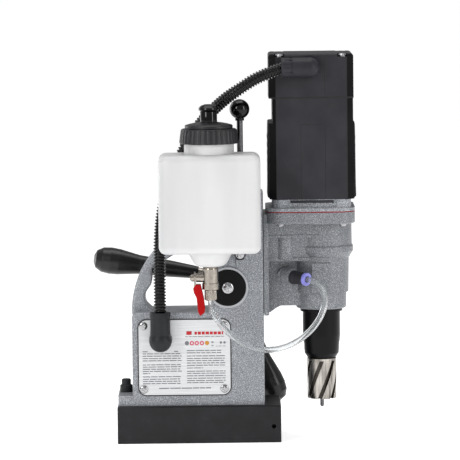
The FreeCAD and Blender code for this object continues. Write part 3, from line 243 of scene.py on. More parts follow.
def clear_tube():
    """Clear hose wall."""
    made = Finish("clear_tube", linear(240, 242, 243), 0.05, 0.0, Coat_Weight=0.4)
    made.shader.inputs["Transmission Weight"].default_value = 0.92
    made.shader.inputs["IOR"].default_value = 1.32
    tint = made.noise(90, 2)
    made.colour(made.ramp(tint, [(0.3, linear(236, 238, 239)), (0.7, linear(244, 246, 247))]))
    return made.material


def brushed_plate():
    """Brushed aluminium sheet, grain along X."""
    made = Finish("brushed_sheet", linear(205, 206, 208), 0.4, 0.55)
    grain = made.noise(260, 4, (0.12, 1, 6))
    made.colour(made.ramp(grain, [(0.3, linear(196, 198, 200)), (0.7, linear(222, 223, 224))]))
    made.rough(grain, 0.34, 0.52)
    made.bump(grain, 0.12, 0.00003)
    return made.material


MAT = {
    "hammertone": hammertone("hammertone_enamel", 1.0),
    # A darker copy of the hammertone for the gear housing: painted shade.
    "hammertone_painted_shade": hammertone("hammertone_enamel_painted_shade", 0.87),
    "black_steel": enamel_black(),
    "black_plastic": moulded("motor_plastic", (36, 36, 41), 0.55, 0.2, 4, Specular_IOR_Level=0.3),
    "cap_plastic": moulded("cap_plastic", (28, 28, 31), 0.42, 0.1, 4, Specular_IOR_Level=0.4),
    "black_rubber": moulded("black_rubber", (26, 28, 31), 0.5, 0.25, 4, Specular_IOR_Level=0.3),
    "conduit": moulded("conduit_nylon", (3, 3, 3), 0.07, 0.0, 1, Specular_IOR_Level=0.4),
    "gloss_black": moulded("gloss_black", (5, 5, 6), 0.08, 0.0, 1, Specular_IOR_Level=0.3),
    "grip_black": moulded("grip_black", (14, 14, 15), 0.3, 0.05, 3, Specular_IOR_Level=0.4),
    # Dark for grooves and joints, and also for painted shade on the chamfer strips and vent slots.
    "groove_and_painted_shade_black": moulded("groove_and_painted_shade_black", (12, 12, 13), 0.7, 0.0, 2),
    "boot_rubber": moulded("boot_rubber", (34, 34, 40), 0.5, 0.2, 4, Specular_IOR_Level=0.3),
    "way_paint": moulded("boss_face", (176, 178, 182), 0.34, 0.06, 5, Metallic=0.3),
    "disc_black": moulded("disc_black", (8, 8, 8), 0.55, 0.2, 1, Specular_IOR_Level=0.15),
    "arbor_black": moulded("arbor_black", (6, 6, 7), 0.3, 0.05, 1, Specular_IOR_Level=0.16),
    "potting": moulded("potting_resin", (34, 36, 42), 0.35, 0.1, 5),
    "machined_steel": metal("machined_steel", (168, 168, 170), 0.3, (1, 1, 5)),
    # The wide spread paints the cutter's light and dark streaks: painted reflection.
    "cutter_steel": metal("cutter_steel", (140, 135, 129), 0.2, (1, 1, 0.12), 330, 0.3, 52),
    # Dark steel for the cutter's flutes: painted shade.
    "flute_painted_shade_steel": metal("flute_painted_shade_steel", (62, 58, 54), 0.3, (1, 1, 0.3), 300, 0.2, 22),
    # A darker copy of the motor plastic for the chamfer faces: painted shade.
    "motor_chamfer_painted_shade": moulded("motor_chamfer_painted_shade", (12, 12, 14), 0.5, 0.2, 3, Specular_IOR_Level=0.08),
    "satin_black": moulded("satin_black", (8, 8, 9), 0.22, 0.1, 2, Specular_IOR_Level=0.3),
    # Darker than bare steel, to paint the dark reflection on the chrome pins.
    "pin_steel": metal("pin_steel", (92, 92, 94), 0.16),
    "screw_steel": metal("screw_steel", (172, 172, 174), 0.2),
    "nickel": metal("nickel_plate", (160, 153, 144), 0.24, (1, 1, 1), 300, 0.1, 12),
    "bronze": metal("bearing_bronze", (176, 140, 88), 0.35),
    "silver_plate": brushed_plate(),
    "tank_white": tank_plastic(),
    "clear_hose": clear_tube(),
    "red_vinyl": moulded("red_vinyl", (158, 0, 6), 0.3, 0.05, 6, Specular_IOR_Level=0.12),
    "red_gasket": moulded("red_gasket", (150, 28, 34), 0.6, 0.2, 8),
    "green_plastic": moulded("green_plastic", (20, 128, 58), 0.3, 0.05, 6),
    "blue_plastic": moulded("blue_plastic", (140, 140, 222), 0.28, 0.05, 6),
    "winding": metal("winding_copper", (178, 104, 62), 0.35, (1, 1, 8), 500, 0.2, 20),
    "carbon": moulded("carbon", (42, 42, 43), 0.5, 0.2, 4),
    "print_red": moulded("print_red", (176, 16, 28), 0.45, 0.0, 4),
    "print_grey": moulded("print_grey", (112, 114, 120), 0.5, 0.0, 6),
    "print_pink": moulded("print_pink", (196, 86, 104), 0.45, 0.0, 5),
    "print_amber": moulded("print_amber", (190, 132, 40), 0.45, 0.0, 5),
    "outline_black": moulded("outline_black", (24, 24, 26), 0.45, 0.0, 3),
}


# ---------------------------------------------------------------- mesh helpers
def finish_mesh(name, mesh, material, body, hides=(), smooth_angle=40):
    """Link a mesh as a piece that rides on a body and, if asked, stands for CAD nodes."""
    obj = bpy.data.objects.new(name, mesh)
    bpy.context.scene.collection.objects.link(obj)
    mesh.materials.clear()
    mesh.materials.append(MAT[material])
    shade(obj, smooth_angle)
    if body:
        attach(obj, body)
    if hides:
        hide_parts(*hides)
    return obj


def shade(obj, angle):
    """Smooth shading that stays sharp past an angle, in degrees."""
    mesh = obj.data
    for polygon in mesh.polygons:
        polygon.use_smooth = True
    mesh.set_sharp_from_angle(angle=math.radians(angle))


def mesh_from(name, build):
    """A mesh filled by a function that gets an empty bmesh."""
    work = bmesh.new()
    build(work)
    bmesh.ops.recalc_face_normals(work, faces=work.faces)
    mesh = bpy.data.meshes.new(name)
    work.to_mesh(mesh)
    work.free()
    return mesh


def standing(at, axis):
    """The transform that stands a piece's Z along an axis at a point in mm."""
    turn = UP.rotation_difference(Vector(axis).normalized()).to_matrix().to_4x4()
    return Matrix.Translation(Vector(at) * MM) @ turn


def skin_rings(work, rings, close_start=True, close_end=True):
    """Quads between rings of points, all of one count, with caps on the ends if asked."""
    made = [[work.verts.new(p) for p in ring] for ring in rings]
    count = len(made[0])
    for low, high in zip(made, made[1:]):
        for i in range(count):
            j = (i + 1) % count
            work.faces.new((low[i], low[j], high[j], high[i]))
    if close_start:
        work.faces.new(list(reversed(made[0])))
    if close_end:
        work.faces.new(made[-1])
    return made


def skin_loop(work, rings):
    """Quads between rings of points, and from the last ring back to the first."""
    made = skin_rings(work, rings, False, False)
    count = len(made[0])
    for i in range(count):
        j = (i + 1) % count
        work.faces.new((made[-1][i], made[-1][j], made[0][j], made[0][i]))


def turned_rings(profile, place, segments, wave=None):
    """Rings of (radius, height) points in mm; wave(angle, radius, height) shifts the radius."""
    rings = []
    for radius, height in profile:
        ring = []
        for i in range(segments):
            angle = 2 * math.pi * i / segments
            out = radius + (wave(angle, radius, height) if wave else 0)
            ring.append(place @ (Vector((out * math.cos(angle), out * math.sin(angle), height)) * MM))
        rings.append(ring)
    return rings


def add_block(work, low, high, bevel=0.0):
    """A box between two corners in mm, its edges bevelled."""
    made = bmesh.ops.create_cube(work, size=1)["verts"]
    low = Vector(low)
    high = Vector(high)
    for vert in made:
        vert.co = Vector([(low[i] + (high[i] - low[i]) * (vert.co[i] + 0.5)) * MM for i in range(3)])
    if bevel:
        edges = list({edge for vert in made for edge in vert.link_edges})
        bmesh.ops.bevel(work, geom=edges, offset=bevel * MM, segments=2, profile=0.6, affect="EDGES")


def prism(work, outline, place, low, high, bevel=0.0):
    """Extrude an outline of (x, y) mm between two heights along a transform's Z."""
    verts = [[work.verts.new(place @ (Vector((x, y, level)) * MM)) for x, y in outline]
             for level in (low, high)]
    faces = [work.faces.new(list(reversed(verts[0]))), work.faces.new(verts[1])]
    count = len(outline)
    for i in range(count):
        j = (i + 1) % count
        faces.append(work.faces.new((verts[0][i], verts[0][j], verts[1][j], verts[1][i])))
    if bevel:
        edges = list({edge for face in faces[:2] for edge in face.edges})
        bmesh.ops.bevel(work, geom=edges, offset=bevel * MM, segments=2, profile=0.6, affect="EDGES")


def cross_cut(mesh, place, reach, depth, top):
    """Cut a cross recess into a screw's head."""
    def build(work):
        for quarter in (0, 1):
            turn = place @ Matrix.Rotation(math.pi / 2 * quarter, 4, "Z")
            prism(work, [(-reach, -0.55), (reach, -0.55), (reach, 0.55), (-reach, 0.55)], turn,
                  top - depth, top + 1)
    cutter = bpy.data.objects.new("cutter", mesh_from("cutter", build))
    target = bpy.data.objects.new("target", mesh)
    for obj in (cutter, target):
        bpy.context.scene.collection.objects.link(obj)
    change = target.modifiers.new("cut", "BOOLEAN")
    change.object = cutter
    change.operation = "DIFFERENCE"
    change.solver = "EXACT"
    change.use_self = True
    bpy.context.view_layer.update()
    graph = bpy.context.evaluated_depsgraph_get()
    made = bpy.data.meshes.new_from_object(target.evaluated_get(graph))
    for obj in (cutter, target):
        bpy.data.objects.remove(obj)
    return made


def screw_group(name, places, axis, radius, height, body, hides):
    """Domed screws with cross recesses, each turned a little differently."""
    total = bmesh.new()
    for index, at in enumerate(places):
        place = standing(at, axis) @ Matrix.Rotation(0.3 + 0.7 * index, 4, "Z")
        rise = height * 0.35
        dome = [(radius * math.cos(a), rise + (height - rise) * math.sin(a))
                for a in [math.radians(d) for d in range(0, 86, 9)]]
        profile = [(0.01, 0), (radius * 0.97, 0), (radius, rise * 0.3)] + dome + [(0.01, height)]
        one = mesh_from("screw", lambda work: skin_rings(work, turned_rings(profile, place, 40)))
        one = cross_cut(one, place, radius * 0.55, height * 0.55, height)
        total.from_mesh(one)
    mesh = bpy.data.meshes.new(name)
    total.to_mesh(mesh)
    total.free()
    finish_mesh(name, mesh, "screw_steel", body, hides, 30)


# ---------------------------------------------------------------- cords
def route_points(route):
    """Points read along the smooth NURBS curve whose control points are the route, in metres."""
    data = bpy.data.curves.new("route", "CURVE")
    data.dimensions = "3D"
    spline = data.splines.new("NURBS")
    spline.points.add(len(route) - 1)
    for point, place in zip(spline.points, route):
        point.co = (*[c * MM for c in place], 1)
    spline.order_u = 3
    spline.use_endpoint_u = True
    spline.resolution_u = 24
    obj = bpy.data.objects.new("route", data)
    bpy.context.scene.collection.objects.link(obj)
    bpy.context.view_layer.update()
    graph = bpy.context.evaluated_depsgraph_get()
    mesh = bpy.data.meshes.new_from_object(obj.evaluated_get(graph))
    points = [v.co.copy() for v in mesh.vertices]
    bpy.data.objects.remove(obj)
    return points


class Path:
    """A curve by arc length, with frames that don't twist."""

    def __init__(self, points):
        self.points = points
        self.stations = [0.0]
        for a, b in zip(points, points[1:]):
            self.stations.append(self.stations[-1] + (b - a).length)
        self.length = self.stations[-1]
        self.tangents = []
        for i in range(len(points)):
            a = points[max(0, i - 1)]
            b = points[min(len(points) - 1, i + 1)]
            self.tangents.append((b - a).normalized())
        side = self.tangents[0].orthogonal().normalized()
        self.sides = [side]
        for a, b in zip(self.tangents, self.tangents[1:]):
            side = a.rotation_difference(b) @ side
            side = (side - b * side.dot(b)).normalized()
            self.sides.append(side)

    def at(self, station):
        """Place, tangent and side at an arc length."""
        station = min(max(station, 0), self.length)
        i = 0
        while i < len(self.stations) - 2 and self.stations[i + 1] < station:
            i += 1
        span = self.stations[i + 1] - self.stations[i]
        t = (station - self.stations[i]) / span if span else 0
        place = self.points[i].lerp(self.points[i + 1], t)
        tangent = self.tangents[i].lerp(self.tangents[i + 1], t).normalized()
        side = self.sides[i].lerp(self.sides[i + 1], t)
        side = (side - tangent * side.dot(tangent)).normalized()
        return place, tangent, side

    def ring(self, station, radius, count):
        place, tangent, side = self.at(station)
        other = tangent.cross(side)
        return [place + (side * math.cos(2 * math.pi * i / count) +
                         other * math.sin(2 * math.pi * i / count)) * radius for i in range(count)]


CONDUIT_ROUTE = [
    (-36.9, -45, 129.6), (-36.9, -45, 147), (-37.1, -42.2, 174), (-36.4, -41.2, 205), (-33.2, -41.3, 231),
    (-25.4, -41.2, 258), (-13.6, -41.5, 285), (4.4, -46, 314), (26.1, -56, 335.6), (43.3, -61, 347.5),
    (63.5, -56.4, 359.8), (85.2, -51.5, 366.3)]

HOSE_ROUTE = [
    (12.7, -78, 144.5), (12.7, -78, 136.7), (17.4, -78.8, 127.2), (26.8, -81, 115.2), (40, -84, 104.4),
    (56, -86.2, 96.8), (75.5, -87, 96.8), (94, -86, 103.2), (109.5, -83, 114.8), (119.5, -77.5, 128.5),
    (124, -69, 142.5), (120.5, -57.4, 154), (111.7, -48.4, 159.6), (103.3, -40.35, 160.3)]


def conduit():
    """Corrugated conduit from the column's elbow to the motor's boot."""
    path = Path(route_points(CONDUIT_ROUTE))
    pitch = 3.0 * MM
    shape = [(0.0, 4.8), (0.16, 4.85), (0.28, 5.8), (0.37, 6.15), (0.5, 6.25), (0.63, 6.15), (0.72, 5.8),
             (0.84, 4.85)]
    rings = []
    turns = int(path.length / pitch)
    for turn in range(turns):
        for step, radius in shape:
            rings.append(path.ring((turn + step) * path.length / turns, radius * MM, 28))
    rings.append(path.ring(path.length, 5.0 * MM, 28))
    mesh = mesh_from("conduit", lambda work: skin_rings(work, rings))
    obj = finish_mesh("conduit", mesh, "conduit", None, ["cable_conduit"], 50)
    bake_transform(obj)


def hose():
    """Clear coolant hose from the valve's nut to the push-in fitting."""
    path = Path(route_points(HOSE_ROUTE))
    steps = 150
    outer = [path.ring(path.length * i / steps, 3.0 * MM, 24) for i in range(steps + 1)]
    inner = [path.ring(path.length * i / steps, 1.9 * MM, 24) for i in range(steps + 1)]

    def build(work):
        shell = skin_rings(work, outer, False, False)
        bore = skin_rings(work, list(reversed(inner)), False, False)
        for a, b in ((shell[-1], bore[0]), (bore[-1], shell[0])):
            for i in range(24):
                j = (i + 1) % 24
                work.faces.new((a[i], a[j], b[j], b[i]))
    obj = finish_mesh("hose", mesh_from("hose", build), "clear_hose", None,
                      ["coolant_hose"], 60)
    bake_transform(obj)


# ---------------------------------------------------------------- camera, light and floor
def look_from(elevation, distance, target, roll, lens):
    """A long-lens camera at a small elevation, rolled a little about its axis."""
    data = bpy.data.cameras.new("camera")
    data.sensor_width = 36
    data.lens = lens
    data.clip_end = 50
    camera = bpy.data.objects.new("camera", data)
    bpy.context.scene.collection.objects.link(camera)
    forward = Vector((0, math.cos(elevation), -math.sin(elevation)))
    up = Vector((0, math.sin(elevation), math.cos(elevation)))
    right = Vector((1, 0, 0))
    rolled_right = right * math.cos(roll) - up * math.sin(roll)
    rolled_up = up * math.cos(roll) + right * math.sin(roll)
    place = Vector(target) - forward * distance
    camera.matrix_world = Matrix.Translation(place) @ Matrix(
        (rolled_right, rolled_up, -forward)).transposed().to_4x4()
    bpy.context.scene.camera = camera


def soft_light(name, place, aim, size, power):
    """A large area light aimed at a point."""
    data = bpy.data.lights.new(name, "AREA")
    data.shape = "RECTANGLE"
    data.size, data.size_y = size
    data.energy = power
    light = bpy.data.objects.new(name, data)
    bpy.context.scene.collection.objects.link(light)
    light.location = place
    light.rotation_euler = (Vector(aim) - Vector(place)).to_track_quat("-Z", "Y").to_euler()


def studio():
    """Bright floor, white surround and soft boxes."""
    look_from(math.radians(5), 3.6, (0.032, 0, 0.2054), math.radians(0.66), 286.5913)
    bpy.ops.mesh.primitive_plane_add(size=60, location=(0, 0, 0))
    floor = bpy.context.object
    floor.name = "floor"
    paper = Finish("floor_paper", linear(246, 246, 246), 0.9)
    paper.colour(paper.ramp(paper.noise(3, 2), [(0.3, linear(245, 245, 245)),
                                                (0.7, linear(247, 247, 247))]))
    paper.shader.inputs["Emission Color"].default_value = (1, 1, 1, 1)
    paper.shader.inputs["Emission Strength"].default_value = 0.62
    floor.data.materials.append(paper.material)
    world = bpy.data.worlds.new("surround")
    bpy.context.scene.world = world
    world.use_nodes = True
    tree = world.node_tree
    back = tree.nodes["Background"]
    back.inputs["Color"].default_value = (1, 1, 1, 1)
    back.inputs["Strength"].default_value = 0.42
    seen = tree.nodes.new("ShaderNodeBackground")
    seen.inputs["Color"].default_value = (1, 1, 1, 1)
    seen.inputs["Strength"].default_value = 1.0
    rays = tree.nodes.new("ShaderNodeLightPath")
    mix = tree.nodes.new("ShaderNodeMixShader")
    tree.links.new(rays.outputs["Is Camera Ray"], mix.inputs["Fac"])
    tree.links.new(back.outputs["Background"], mix.inputs[1])
    tree.links.new(seen.outputs["Background"], mix.inputs[2])
    tree.links.new(mix.outputs["Shader"], tree.nodes["World Output"].inputs["Surface"])
    centre = (0.03, 0, 0.2)
    soft_light("key_left", (-1.2, -1.6, 1.1), centre, (0.45, 1.1), 16)
    soft_light("fill_right", (1.6, -1.2, 0.8), centre, (0.4, 1.2), 11)
    soft_light("top", (0.0, 0.1, 1.8), centre, (1.4, 1.0), 11)
    soft_light("rim", (-1.2, 1.1, 0.6), centre, (0.5, 1.4), 6)
    bpy.context.scene.view_settings.view_transform = "Standard"


# ---------------------------------------------------------------- finishes of the CAD pieces
NODE_FINISH = {
    "hammertone": ["column_casting", "gearbox_cover"],
    # The gear housing takes the darker hammertone copy, which paints shade.
    "hammertone_painted_shade": ["gear_housing"],
    "black_steel": ["magnet_base", "tank_bracket"],
    "arbor_black": ["arbor"],
    "potting": ["magnet_coils"],
    "machined_steel": ["gib_strip", "slide_rail", "feed_rack", "idler_gears", "spindle_gear", "spindle",
                       "armature_shaft", "feed_pinion", "gearbox_bearings", "motor_stator"],
    "cutter_steel": ["annular_cutter"],
    "screw_steel": ["gib_screws", "name_plate_screws", "control_panel_screws", "tank_bracket_screws",
                    "flange_screws", "motor_cap_screws", "arbor_set_screws", "pinion_disc_screw",
                    "ejector_spring"],
    "pin_steel": ["tank_pin", "pilot_pin"],
    "silver_plate": ["name_plate"],
    "black_rubber": ["lower_conduit_elbow", "cable_gland"],
    "bronze": ["feed_bushes"],
    "black_plastic": ["control_panel", "motor_housing", "motor_side_covers", "motor_top_cap",
                      "magnet_rocker", "cooling_fan", "hose_fitting"],
    "boot_rubber": ["upper_conduit_elbow"],
    "cap_plastic": ["tank_cap"],
    "disc_black": ["pinion_disc"],
    "gloss_black": ["pin_knob"],
    "satin_black": ["vent_plug"],
    "grip_black": ["spoke_grips"],
    "tank_white": ["coolant_tank"],
    "nickel": ["valve_body", "hose_nut", "capstan_hub", "spoke_rods"],
    "clear_hose": ["coolant_hose"],
    "red_vinyl": ["valve_lever", "stop_button"],
    "red_gasket": ["housing_gasket"],
    "green_plastic": ["start_button"],
    "blue_plastic": ["fitting_collar"],
    "winding": ["armature_core"],
    "carbon": ["carbon_brushes"],
    "conduit": ["cable_conduit"],
}


SHARP = {"annular_cutter": 24, "spoke_grips": 50, "pin_knob": 60, "vent_plug": 60}


def finish_cad():
    """Give every carried-over CAD node its procedural finish."""
    for material, names in NODE_FINISH.items():
        for name in names:
            obj = nodes[name]
            obj.data.materials.clear()
            obj.data.materials.append(MAT[material])
            shade(obj, SHARP.get(name, 34))


def second_finish(name, material, chosen):
    """Give some faces of a CAD node another finish; chosen gets a face's middle in mm and its normal."""
    mesh = nodes[name].data
    mesh.materials.append(MAT[material])
    for polygon in mesh.polygons:
        if chosen(polygon.center / MM, polygon.normal):
            polygon.material_index = len(mesh.materials) - 1


def mixed_finishes():
    """Bare steel plate on the lever, painted shade on the motor's chamfers, painted shade in the cutter's
    flutes.
    """
    second_finish("valve_lever", "nickel", lambda at, normal: at.z > 160.3)
    for name in ("motor_housing", "motor_top_cap"):
        # Faces turned to the near corners take the darker plastic: painted shade on the chamfers.
        second_finish(name, "motor_chamfer_painted_shade", lambda at, normal: normal.y < -0.35 and abs(normal.x) > 0.35)
    # Faces inside the flutes take the dark steel: painted shade.
    second_finish("annular_cutter", "flute_painted_shade_steel",
                  lambda at, normal: 37 < at.z < 76.5 and math.hypot(at.x - SPINDLE_X, at.y) < 13.7)


# ---------------------------------------------------------------- detail pieces
def node_ends(name):
    """The low and high corners of a CAD node's box, in mm."""
    return [Vector(corner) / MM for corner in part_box(name)]


def corner_outline(low_x, low_z, high_x, high_z, radius, steps=8):
    """A rectangle with rounded corners as (x, z) points in mm."""
    points = []
    for cx, cz, start in ((high_x - radius, high_z - radius, 0), (low_x + radius, high_z - radius, 90),
                          (low_x + radius, low_z + radius, 180), (high_x - radius, low_z + radius, 270)):
        for i in range(steps + 1):
            angle = math.radians(start + 90 * i / steps)
            points.append((cx + radius * math.cos(angle), cz + radius * math.sin(angle)))
    return points


def facing(y):
    """The transform of a sheet that lies in XZ at a depth in mm and faces the near side."""
    return Matrix.Translation(Vector((0, y, 0)) * MM) @ Matrix.Rotation(math.pi / 2, 4, "X")


def facing_far(y):
    """The same for the far side; outlines are read with X turned round."""
    return Matrix.Translation(Vector((0, y, 0)) * MM) @ Matrix.Rotation(math.pi, 4, "Z") @ Matrix.Rotation(
        math.pi / 2, 4, "X")


def ring_outline(x, z, radius, steps=28):
    """A disc's outline as (x, z) points in mm."""
    return [(x + radius * math.cos(2 * math.pi * i / steps), z + radius * math.sin(2 * math.pi * i / steps))
            for i in range(steps)]


def printed(name, outlines, place, material, body, thick=0.06):
    """Flat printed marks, a hair above the sheet they sit on."""
    def build(work):
        for outline in outlines:
            prism(work, outline, place, -0.02, thick)
    return finish_mesh(name, mesh_from(name, build), material, body)


def bar(low_x, low_z, high_x, high_z):
    """A rectangle's outline as (x, z) points in mm."""
    return [(low_x, low_z), (high_x, low_z), (high_x, high_z), (low_x, high_z)]


def dashes(low_x, high_x, z, height, words):
    """A line of print: dashes of uneven length with small gaps."""
    made = []
    x = low_x
    while x < high_x - 1:
        end = min(x + words * random.uniform(0.5, 1.5), high_x)
        made.append(bar(x, z - height / 2, end, z + height / 2))
        x = end + 0.75
    return made


def plate_print():
    """The near plate's dark border, its two columns of grey lines, its red bars and its row of discs."""
    low, high = node_ends("name_plate")
    sheet = facing(low.y)
    border = corner_outline(low.x - 0.5, low.z - 0.5, high.x + 0.5, high.z + 0.5, 8.5)
    inner = corner_outline(low.x + 0.5, low.z + 0.5, high.x - 0.5, high.z - 0.5, 7.5)

    def frame_ring(work):
        levels = []
        for outline, level in ((border, -0.75), (border, 0.12), (inner, 0.12), (inner, -0.75)):
            levels.append([sheet @ (Vector((x, z, level)) * MM) for x, z in outline])
        skin_loop(work, levels)
    finish_mesh("plate_border", mesh_from("plate_border", frame_ring), "outline_black", "stand")
    left, right, tall = -54.7, -11.6, 0.85
    lines = dashes(left, -49, 90, tall, 6) + dashes(-24, -19.5, 90, tall, 6)
    for z in (87.8, 85.5, 83.2, 81, 77, 74.9, 72.7, 70.6, 65.2, 62.9, 60.7, 58.5):
        lines += dashes(left, -16.5 - random.uniform(0, 2), z, tall, 6)
    lines += dashes(left, -47.6, 68.4, tall, 5)
    for z in (90.6, 88.4, 85.3, 82.9, 80.7, 78.4, 76.1, 70.3, 68.2, 65.8, 63.4, 61.1, 59.1):
        lines += dashes(right, 26.4 - random.uniform(0, 5 if z > 88 else 1.5), z, tall, 6)
    lines += dashes(right, 4.2, 73.5, tall, 5)
    lines += dashes(-39, 11.6, 53.8, 1.0, 7)
    lines += dashes(-13, 24.9, 104.3, 0.6, 4)
    lines += dashes(16.7, 26.4, 94.9, 0.5, 3)
    lines += [bar(12.6, 98, 14.6, 99.4), bar(12.6, 94.8, 14.6, 95.8), ring_outline(-11.3, 97.9, 2.1)]
    lines += [ring_outline(21.8, 98.3, 1.2), ring_outline(25.4, 98.3, 1.2)]
    printed("plate_lines", lines, sheet, "print_grey", "stand")
    marks = [bar(-11.8, 106.1, -6.6, 109.7)]
    x = -3.8
    for width in (2.4, 3.1, 3.0, 3.4, 3.0, 3.2, 3.2, 1.4):
        marks.append(bar(x, 106.3, x + width, 109.2))
        x += width + 0.75
    printed("plate_red_marks", marks, sheet, "print_red", "stand")
    places = (-6.5, -1.7, 3.3)
    printed("plate_discs", [ring_outline(x, 97.9, 2.2) for x in places], sheet, "print_pink", "stand")
    printed("plate_disc_centres", [ring_outline(x, 97.9, 0.9) for x in places], sheet, "silver_plate",
            "stand", 0.1)
    printed("plate_amber_disc", [ring_outline(8.3, 97.9, 2.1)], sheet, "print_amber", "stand")


def panel_print():
    """Plain marks round the switches of the far panel."""
    low, high = node_ends("control_panel")
    sheet = facing_far(high.y)
    marks = [bar(28, 101, 46, 102), bar(28, 64, 46, 65), bar(-6, 82, 10, 83)]
    marks += [bar(-30, 50, -14, 51), bar(-30, 116, 30, 117)]
    printed("panel_lines", marks, sheet, "silver_plate", "stand")
    printed("panel_green_dot", [ring_outline(2, 110, 1.8)], sheet, "green_plastic", "stand")
    printed("panel_red_dot", [ring_outline(2, 54.5, 1.8)], sheet, "print_red", "stand")
    rocker_low, rocker_high = node_ends("magnet_rocker")
    face = facing_far(rocker_high.y)
    middle = -(rocker_low.x + rocker_high.x) / 2
    printed("rocker_marks", [bar(middle - 0.5, 89, middle + 0.5, 93.5)], face, "silver_plate",
            "magnet_rocker")
    printed("rocker_ring", [ring_outline(middle, 75, 2)], face, "silver_plate", "magnet_rocker")


def cross_screws():
    """Cross-head screws of the near plate, the far panel, the tank bracket and the feed disc."""
    for name, label, radius, height, axis in (
            ("name_plate_screws", "plate_screw_heads", 4.0, 2.1, NEAR),
            ("control_panel_screws", "panel_screw_heads", 3.6, 2.0, FAR)):
        low, high = node_ends(name)
        seat = low.y + 2.0 if axis is NEAR else high.y - 2.0
        places = [(x, seat, z) for x in (low.x + radius, high.x - radius)
                  for z in (low.z + radius, high.z - radius)]
        screw_group(label, places, axis, radius, height, "stand", [name])
    low, high = node_ends("pinion_disc_screw")
    centre = (low + high) / 2
    screw_group("disc_screw_head", [(centre.x, low.y + 3.0, centre.z)], NEAR, 5.8, 3.0, "feed",
                ["pinion_disc_screw"])
    low, high = node_ends("tank_bracket_screws")
    places = [(41.5, low.y + 2.4, z) for z in (184.6, 230)]
    screw_group("bracket_screw_heads", places, NEAR, 4.3, 2.4, "stand", ["tank_bracket_screws"])


def tank_cap():
    """The ribbed cap with its domed top, and its glossy spout."""
    place = standing((TANK_X, TANK_Y, CAP_SEAT), UP)

    def ribs(angle, radius, height):
        if radius < 25 or height < 1 or height > 13.2:
            return 0
        return 0.42 * (max(0, math.cos(angle * 40)) ** 0.6 - 0.5)

    shell = [(24.6, 3.4), (24.6, 0), (27.9, 0), (28.3, 0.5), (28.25, 1.6), (28.1, 3), (27.6, 7), (27, 11),
             (26.75, 12.9), (26.3, 13.7), (25.6, 14.1), (23.3, 14.1), (22.5, 14.2), (22.4, 14.6), (23, 15),
             (23.1, 16.6), (22.9, 17.2), (22.3, 17.8), (18.5, 18.9), (14, 19.8), (9.2, 20.4), (8.4, 20.7)]
    inside = [(4.1, 20.8), (4.1, 17), (20.9, 14.4), (20.9, 3.4)]
    mesh = mesh_from("tank_cap_ribbed", lambda work: skin_loop(
        work, turned_rings(shell + inside, place, 320, ribs)))
    finish_mesh("tank_cap_ribbed", mesh, "cap_plastic", "tank_cap", ["tank_cap"], 34)
    spout = [(8.2, 20.7), (8.2, 30.2), (8.0, 30.7), (7.5, 31), (4.1, 31), (4.1, 20.7)]
    mesh = mesh_from("cap_spout", lambda work: skin_loop(work, turned_rings(spout, place, 72)))
    finish_mesh("cap_spout", mesh, "gloss_black", "tank_cap", (), 40)


def motor_lines():
    """Mould lines, painted shade lines along the chamfers, and the joint between housing and cap."""
    low, high = node_ends("motor_housing")
    cap_low, cap_high = node_ends("motor_top_cap")
    near_face = low.y
    seam = cap_low.z
    grooves = [bar(125.2, seam + 1, 125.55, cap_high.z - 4.5), bar(125.2, low.z + 0.5, 125.6, 309.6),
               bar(101.6, low.z + 0.5, 101.9, 310.4), bar(101.6, 310.4, 124, 310.75)]
    printed("motor_mould_lines", grooves, facing(near_face), "groove_and_painted_shade_black", "carriage",
            0.05)
    # Two dark strips beside the near chamfers: painted shade.
    edges = [bar(low.x + 6.6, low.z + 0.5, low.x + 7.2, cap_high.z - 3.5),
             bar(high.x - 7.4, low.z + 0.5, high.x - 6.4, cap_high.z - 3.5)]
    printed("motor_chamfer_painted_shade_lines", edges, facing(near_face + 0.02), "groove_and_painted_shade_black", "carriage",
            0.05)
    outline = chamfered(low.x + 0.25, low.y + 0.25, high.x - 0.25, high.y - 0.25, 7)
    wide = chamfered(low.x - 0.06, low.y - 0.08, high.x + 0.06, high.y + 0.08, 7)

    def band(work):
        place = Matrix.Translation(Vector((0, 0, seam)) * MM)
        levels = []
        for shape, level in ((wide, -0.8), (wide, 0.7), (outline, 0.7), (outline, -0.8)):
            levels.append([place @ (Vector((x, y, level)) * MM) for x, y in shape])
        skin_loop(work, levels)
    finish_mesh("motor_seam_line", mesh_from("motor_seam_line", band), "groove_and_painted_shade_black", "carriage")


def chamfered(low_x, low_y, high_x, high_y, cut):
    """A rectangle with its corners cut at 45 degrees, as (x, y) points in mm."""
    return [(low_x + cut, low_y), (high_x - cut, low_y), (high_x, low_y + cut), (high_x, high_y - cut),
            (high_x - cut, high_y), (low_x + cut, high_y), (low_x, high_y - cut), (low_x, low_y + cut)]


def side_covers():
    """The two vent covers, waisted above their lower corners, with dark blocks painted as shade in the vent
    slots.
    """
    faces = ((153.45, 1), (70.95, -1))
    outline = [(-0.2, 238), (1.9, 239.8), (2.0, 241), (1.7, 252), (1.4, 300), (1.2, 310), (0.8, 312),
               (-0.2, 312)]
    across = Matrix.Rotation(math.pi / 2, 4, "X")

    def build(work):
        for face, side in faces:
            points = [(face + x * side, z) for x, z in outline]
            prism(work, points, across, -28, 28, 0.25)

    # Dark blocks where the vent slots are: painted shade in the openings.
    def slots(work):
        for face, side in faces:
            for i in range(6):
                ends = sorted((face - 0.2 * side, face + 1.76 * side))
                add_block(work, (ends[0], -22, 255 + 8 * i), (ends[1], 22, 258.5 + 8 * i))
    finish_mesh("vent_covers", mesh_from("vent_covers", build), "black_plastic", "carriage",
                ["motor_side_covers"], 30)
    finish_mesh("vent_slot_painted_shade", mesh_from("vent_slot_painted_shade", slots), "groove_and_painted_shade_black", "carriage",
                (), 30)


